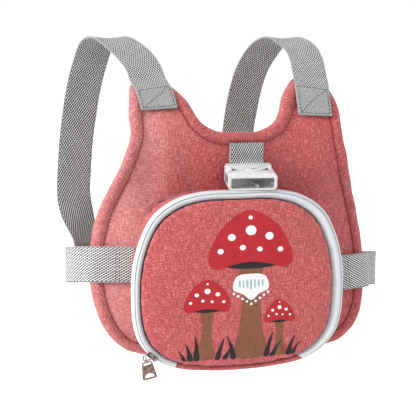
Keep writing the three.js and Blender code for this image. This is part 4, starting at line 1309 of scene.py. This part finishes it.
def leash_buckle():
    """The buckle's shell with the openings and the raised oval of its top plate"""
    buckle = solid_copy("leash_buckle_shell", "leash_buckle")
    edit(buckle, lambda: bpy.ops.mesh.dissolve_limited(angle_limit=math.radians(1)))
    top = LEASH_NECK_HEIGHT / 2
    low = top - LEASH_HEIGHT
    for hand in (-1, 1):
        corner = [(hand * 14.8, 8.5), (hand * 14.8, 17), (hand * 10, 14)]
        cut(buckle, cutter("corner_opening", corner, -top, top + 2))
        window = [(hand * 9, 10), (hand * 23, 10), (hand * 23, 24.2), (hand * 13, 24.2)]
        cut(buckle, cutter("side_window", window, low + 2.8, top - 2.8))
    edge = LEASH_WIDTH / 2 - 1.6
    cover = [(-edge, -1), (edge, -1), (edge, 8), (-edge, 8)]
    cut(buckle, cutter("tab_cover", cover, top - 0.4, top + 1.3), "UNION")
    half = WEBBING_WIDTH / 2 + 0.6
    channel = [(-half, -3), (half, -3), (half, 5.8), (-half, 5.8)]
    cut(buckle, cutter("tab_channel", channel, top - 0.6, top + 0.6))
    oval = oval_ring(2, 14.5, 15, 7.6, steps=28)
    cut(buckle, cutter("raised_oval", oval, top - 1, top + 0.8), "UNION")
    slot = oval_ring(3, 13.4, 4.8, 2.6, steps=16)
    cut(buckle, cutter("oval_slot", slot, top - 3, top + 2))
    rib = [(1.2, 11), (2.6, 11), (5.4, 25), (4, 25)]
    cut(buckle, cutter("guide_rib", rib, low + 1, low + 4), "UNION")
    apply_modifier(buckle, "BEVEL", width=0.28 * MM, segments=2, limit_method="ANGLE",
                   angle_limit=math.radians(35), miter_outer="MITER_ARC")
    shade(buckle, 35)
    finish(buckle, PLASTIC, slot="white_plastic", replaces=["leash_buckle"])
    buckle.data.materials.append(SHADED_PLASTIC)
    # Faces inside the mouth take the darker plastic: painted shade
    inside = leash_frame().inverted()
    for face in buckle.data.polygons:
        x, y, z = inside @ Vector(face.center / MM + Vector(ORIGIN))
        if abs(x) < 17.6 and -25.9 < y < -9 and low + 0.6 < z < top - 0.8:
            face.material_index = 1


def hard_pieces():
    leash_buckle()
    clasp = solid_copy("chest_clasp", "chest_buckle")
    soften_edges(clasp, 1.6, 4)
    finish(clasp, PLASTIC, slot="white_plastic", replaces=["chest_buckle"])
    slider = solid_copy("slider_body", "zip_slider")
    soften_edges(slider, 0.18, 2)
    finish(slider, SLIDER_METAL_GLINTS, slot="zip_metal", replaces=["zip_slider"])
    pull = solid_copy("pull_plate", "zip_pull")
    soften_edges(pull, 0.16, 2)
    # The plate flares towards its lower end, below the slider's bail
    hang = np.array([math.sin(PULL_LEAN), 0, -math.cos(PULL_LEAN)])
    level = np.array([math.cos(PULL_LEAN), 0, math.sin(PULL_LEAN)])
    for vertex in pull.data.vertices:
        place = np.array(vertex.co) / MM + ORIGIN - PULL_PIVOT
        down, across = place @ hang, place @ level
        flare = PLATE_FLARE * min(max(down / PLATE_LENGTH, 0), 1)
        raised = LINK_RAISE * min(max((down - 2) / 6, 0), 1) + max(down, 0) * PLATE_RAISE
        vertex.co = locate(PULL_PIVOT + place - hang * raised + level * across * flare)
    finish(pull, METAL, body="pull", slot="zip_metal", replaces=["zip_pull"])


# Stage, light and camera


def stage():
    floor_level = locate([0, 0, FLOOR_LEVEL])[2]
    deselect()
    bpy.ops.mesh.primitive_plane_add(size=FLOOR_SIZE, location=(0, 0, floor_level))
    floor = bpy.context.object
    floor.name = "floor"
    edit(floor, lambda: bpy.ops.mesh.subdivide(number_cuts=3))
    pick(floor)
    bpy.ops.object.transform_apply(location=True, rotation=True, scale=True)
    paper = Finish("floor_paper", 0.9)
    speck = paper.noise(paper.scaled(paper.place(), 40, 40, 40), 1, 3, 0.6)
    paper.colour(paper.ramp(speck, (0.3, (0.9, 0.9, 0.9, 1)), (0.7, (0.94, 0.94, 0.94, 1))))
    floor.data.materials.append(paper.material)


def lights():
    world = bpy.context.scene.world or bpy.data.worlds.new("World")
    bpy.context.scene.world = world
    world.use_nodes = True
    background = world.node_tree.nodes["Background"]
    background.inputs["Color"].default_value = (1, 1, 1, 1)
    background.inputs["Strength"].default_value = 1.0
    suns = (("key", (0.9, 0.26, -0.34), 3.2, 24), ("top", (0.05, 0.3, -0.95), 0.5, 50))
    for name, towards, strength, soft in suns:
        light = bpy.data.lights.new(name, "SUN")
        light.energy = strength
        light.angle = math.radians(soft)
        lamp = bpy.data.objects.new(name, light)
        lamp.rotation_euler = Vector(towards).to_track_quat("-Z", "Y").to_euler()
        bpy.context.scene.collection.objects.link(lamp)
    bpy.context.scene.view_settings.view_transform = "Standard"


def camera():
    azimuth, elevation = CAMERA_AZIMUTH, CAMERA_ELEVATION
    right = Vector((math.cos(azimuth), math.sin(azimuth), 0))
    back = Vector((math.sin(azimuth) * math.cos(elevation), -math.cos(azimuth) * math.cos(elevation),
                   math.sin(elevation)))
    up = back.cross(right)
    data = bpy.data.cameras.new("camera")
    data.sensor_width = SENSOR_WIDTH
    data.lens = SENSOR_WIDTH * FOCAL_PIXELS / PICTURE_WIDTH
    seat = bpy.data.objects.new("camera", data)
    place = locate(CAMERA_PLACE)
    seat.matrix_world = Matrix.Translation(Vector(place)) @ Matrix((right, up, back)).transposed().to_4x4()
    bpy.context.scene.collection.objects.link(seat)
    bpy.context.scene.camera = seat


camera()
stage()
lights()
back_panel()
edge_binding()
binding_stitches()
pouch_gusset()
zip_band()
pad = pouch_front()
toadstool_print(pad)
sewn_straps(straps())
hard_pieces()
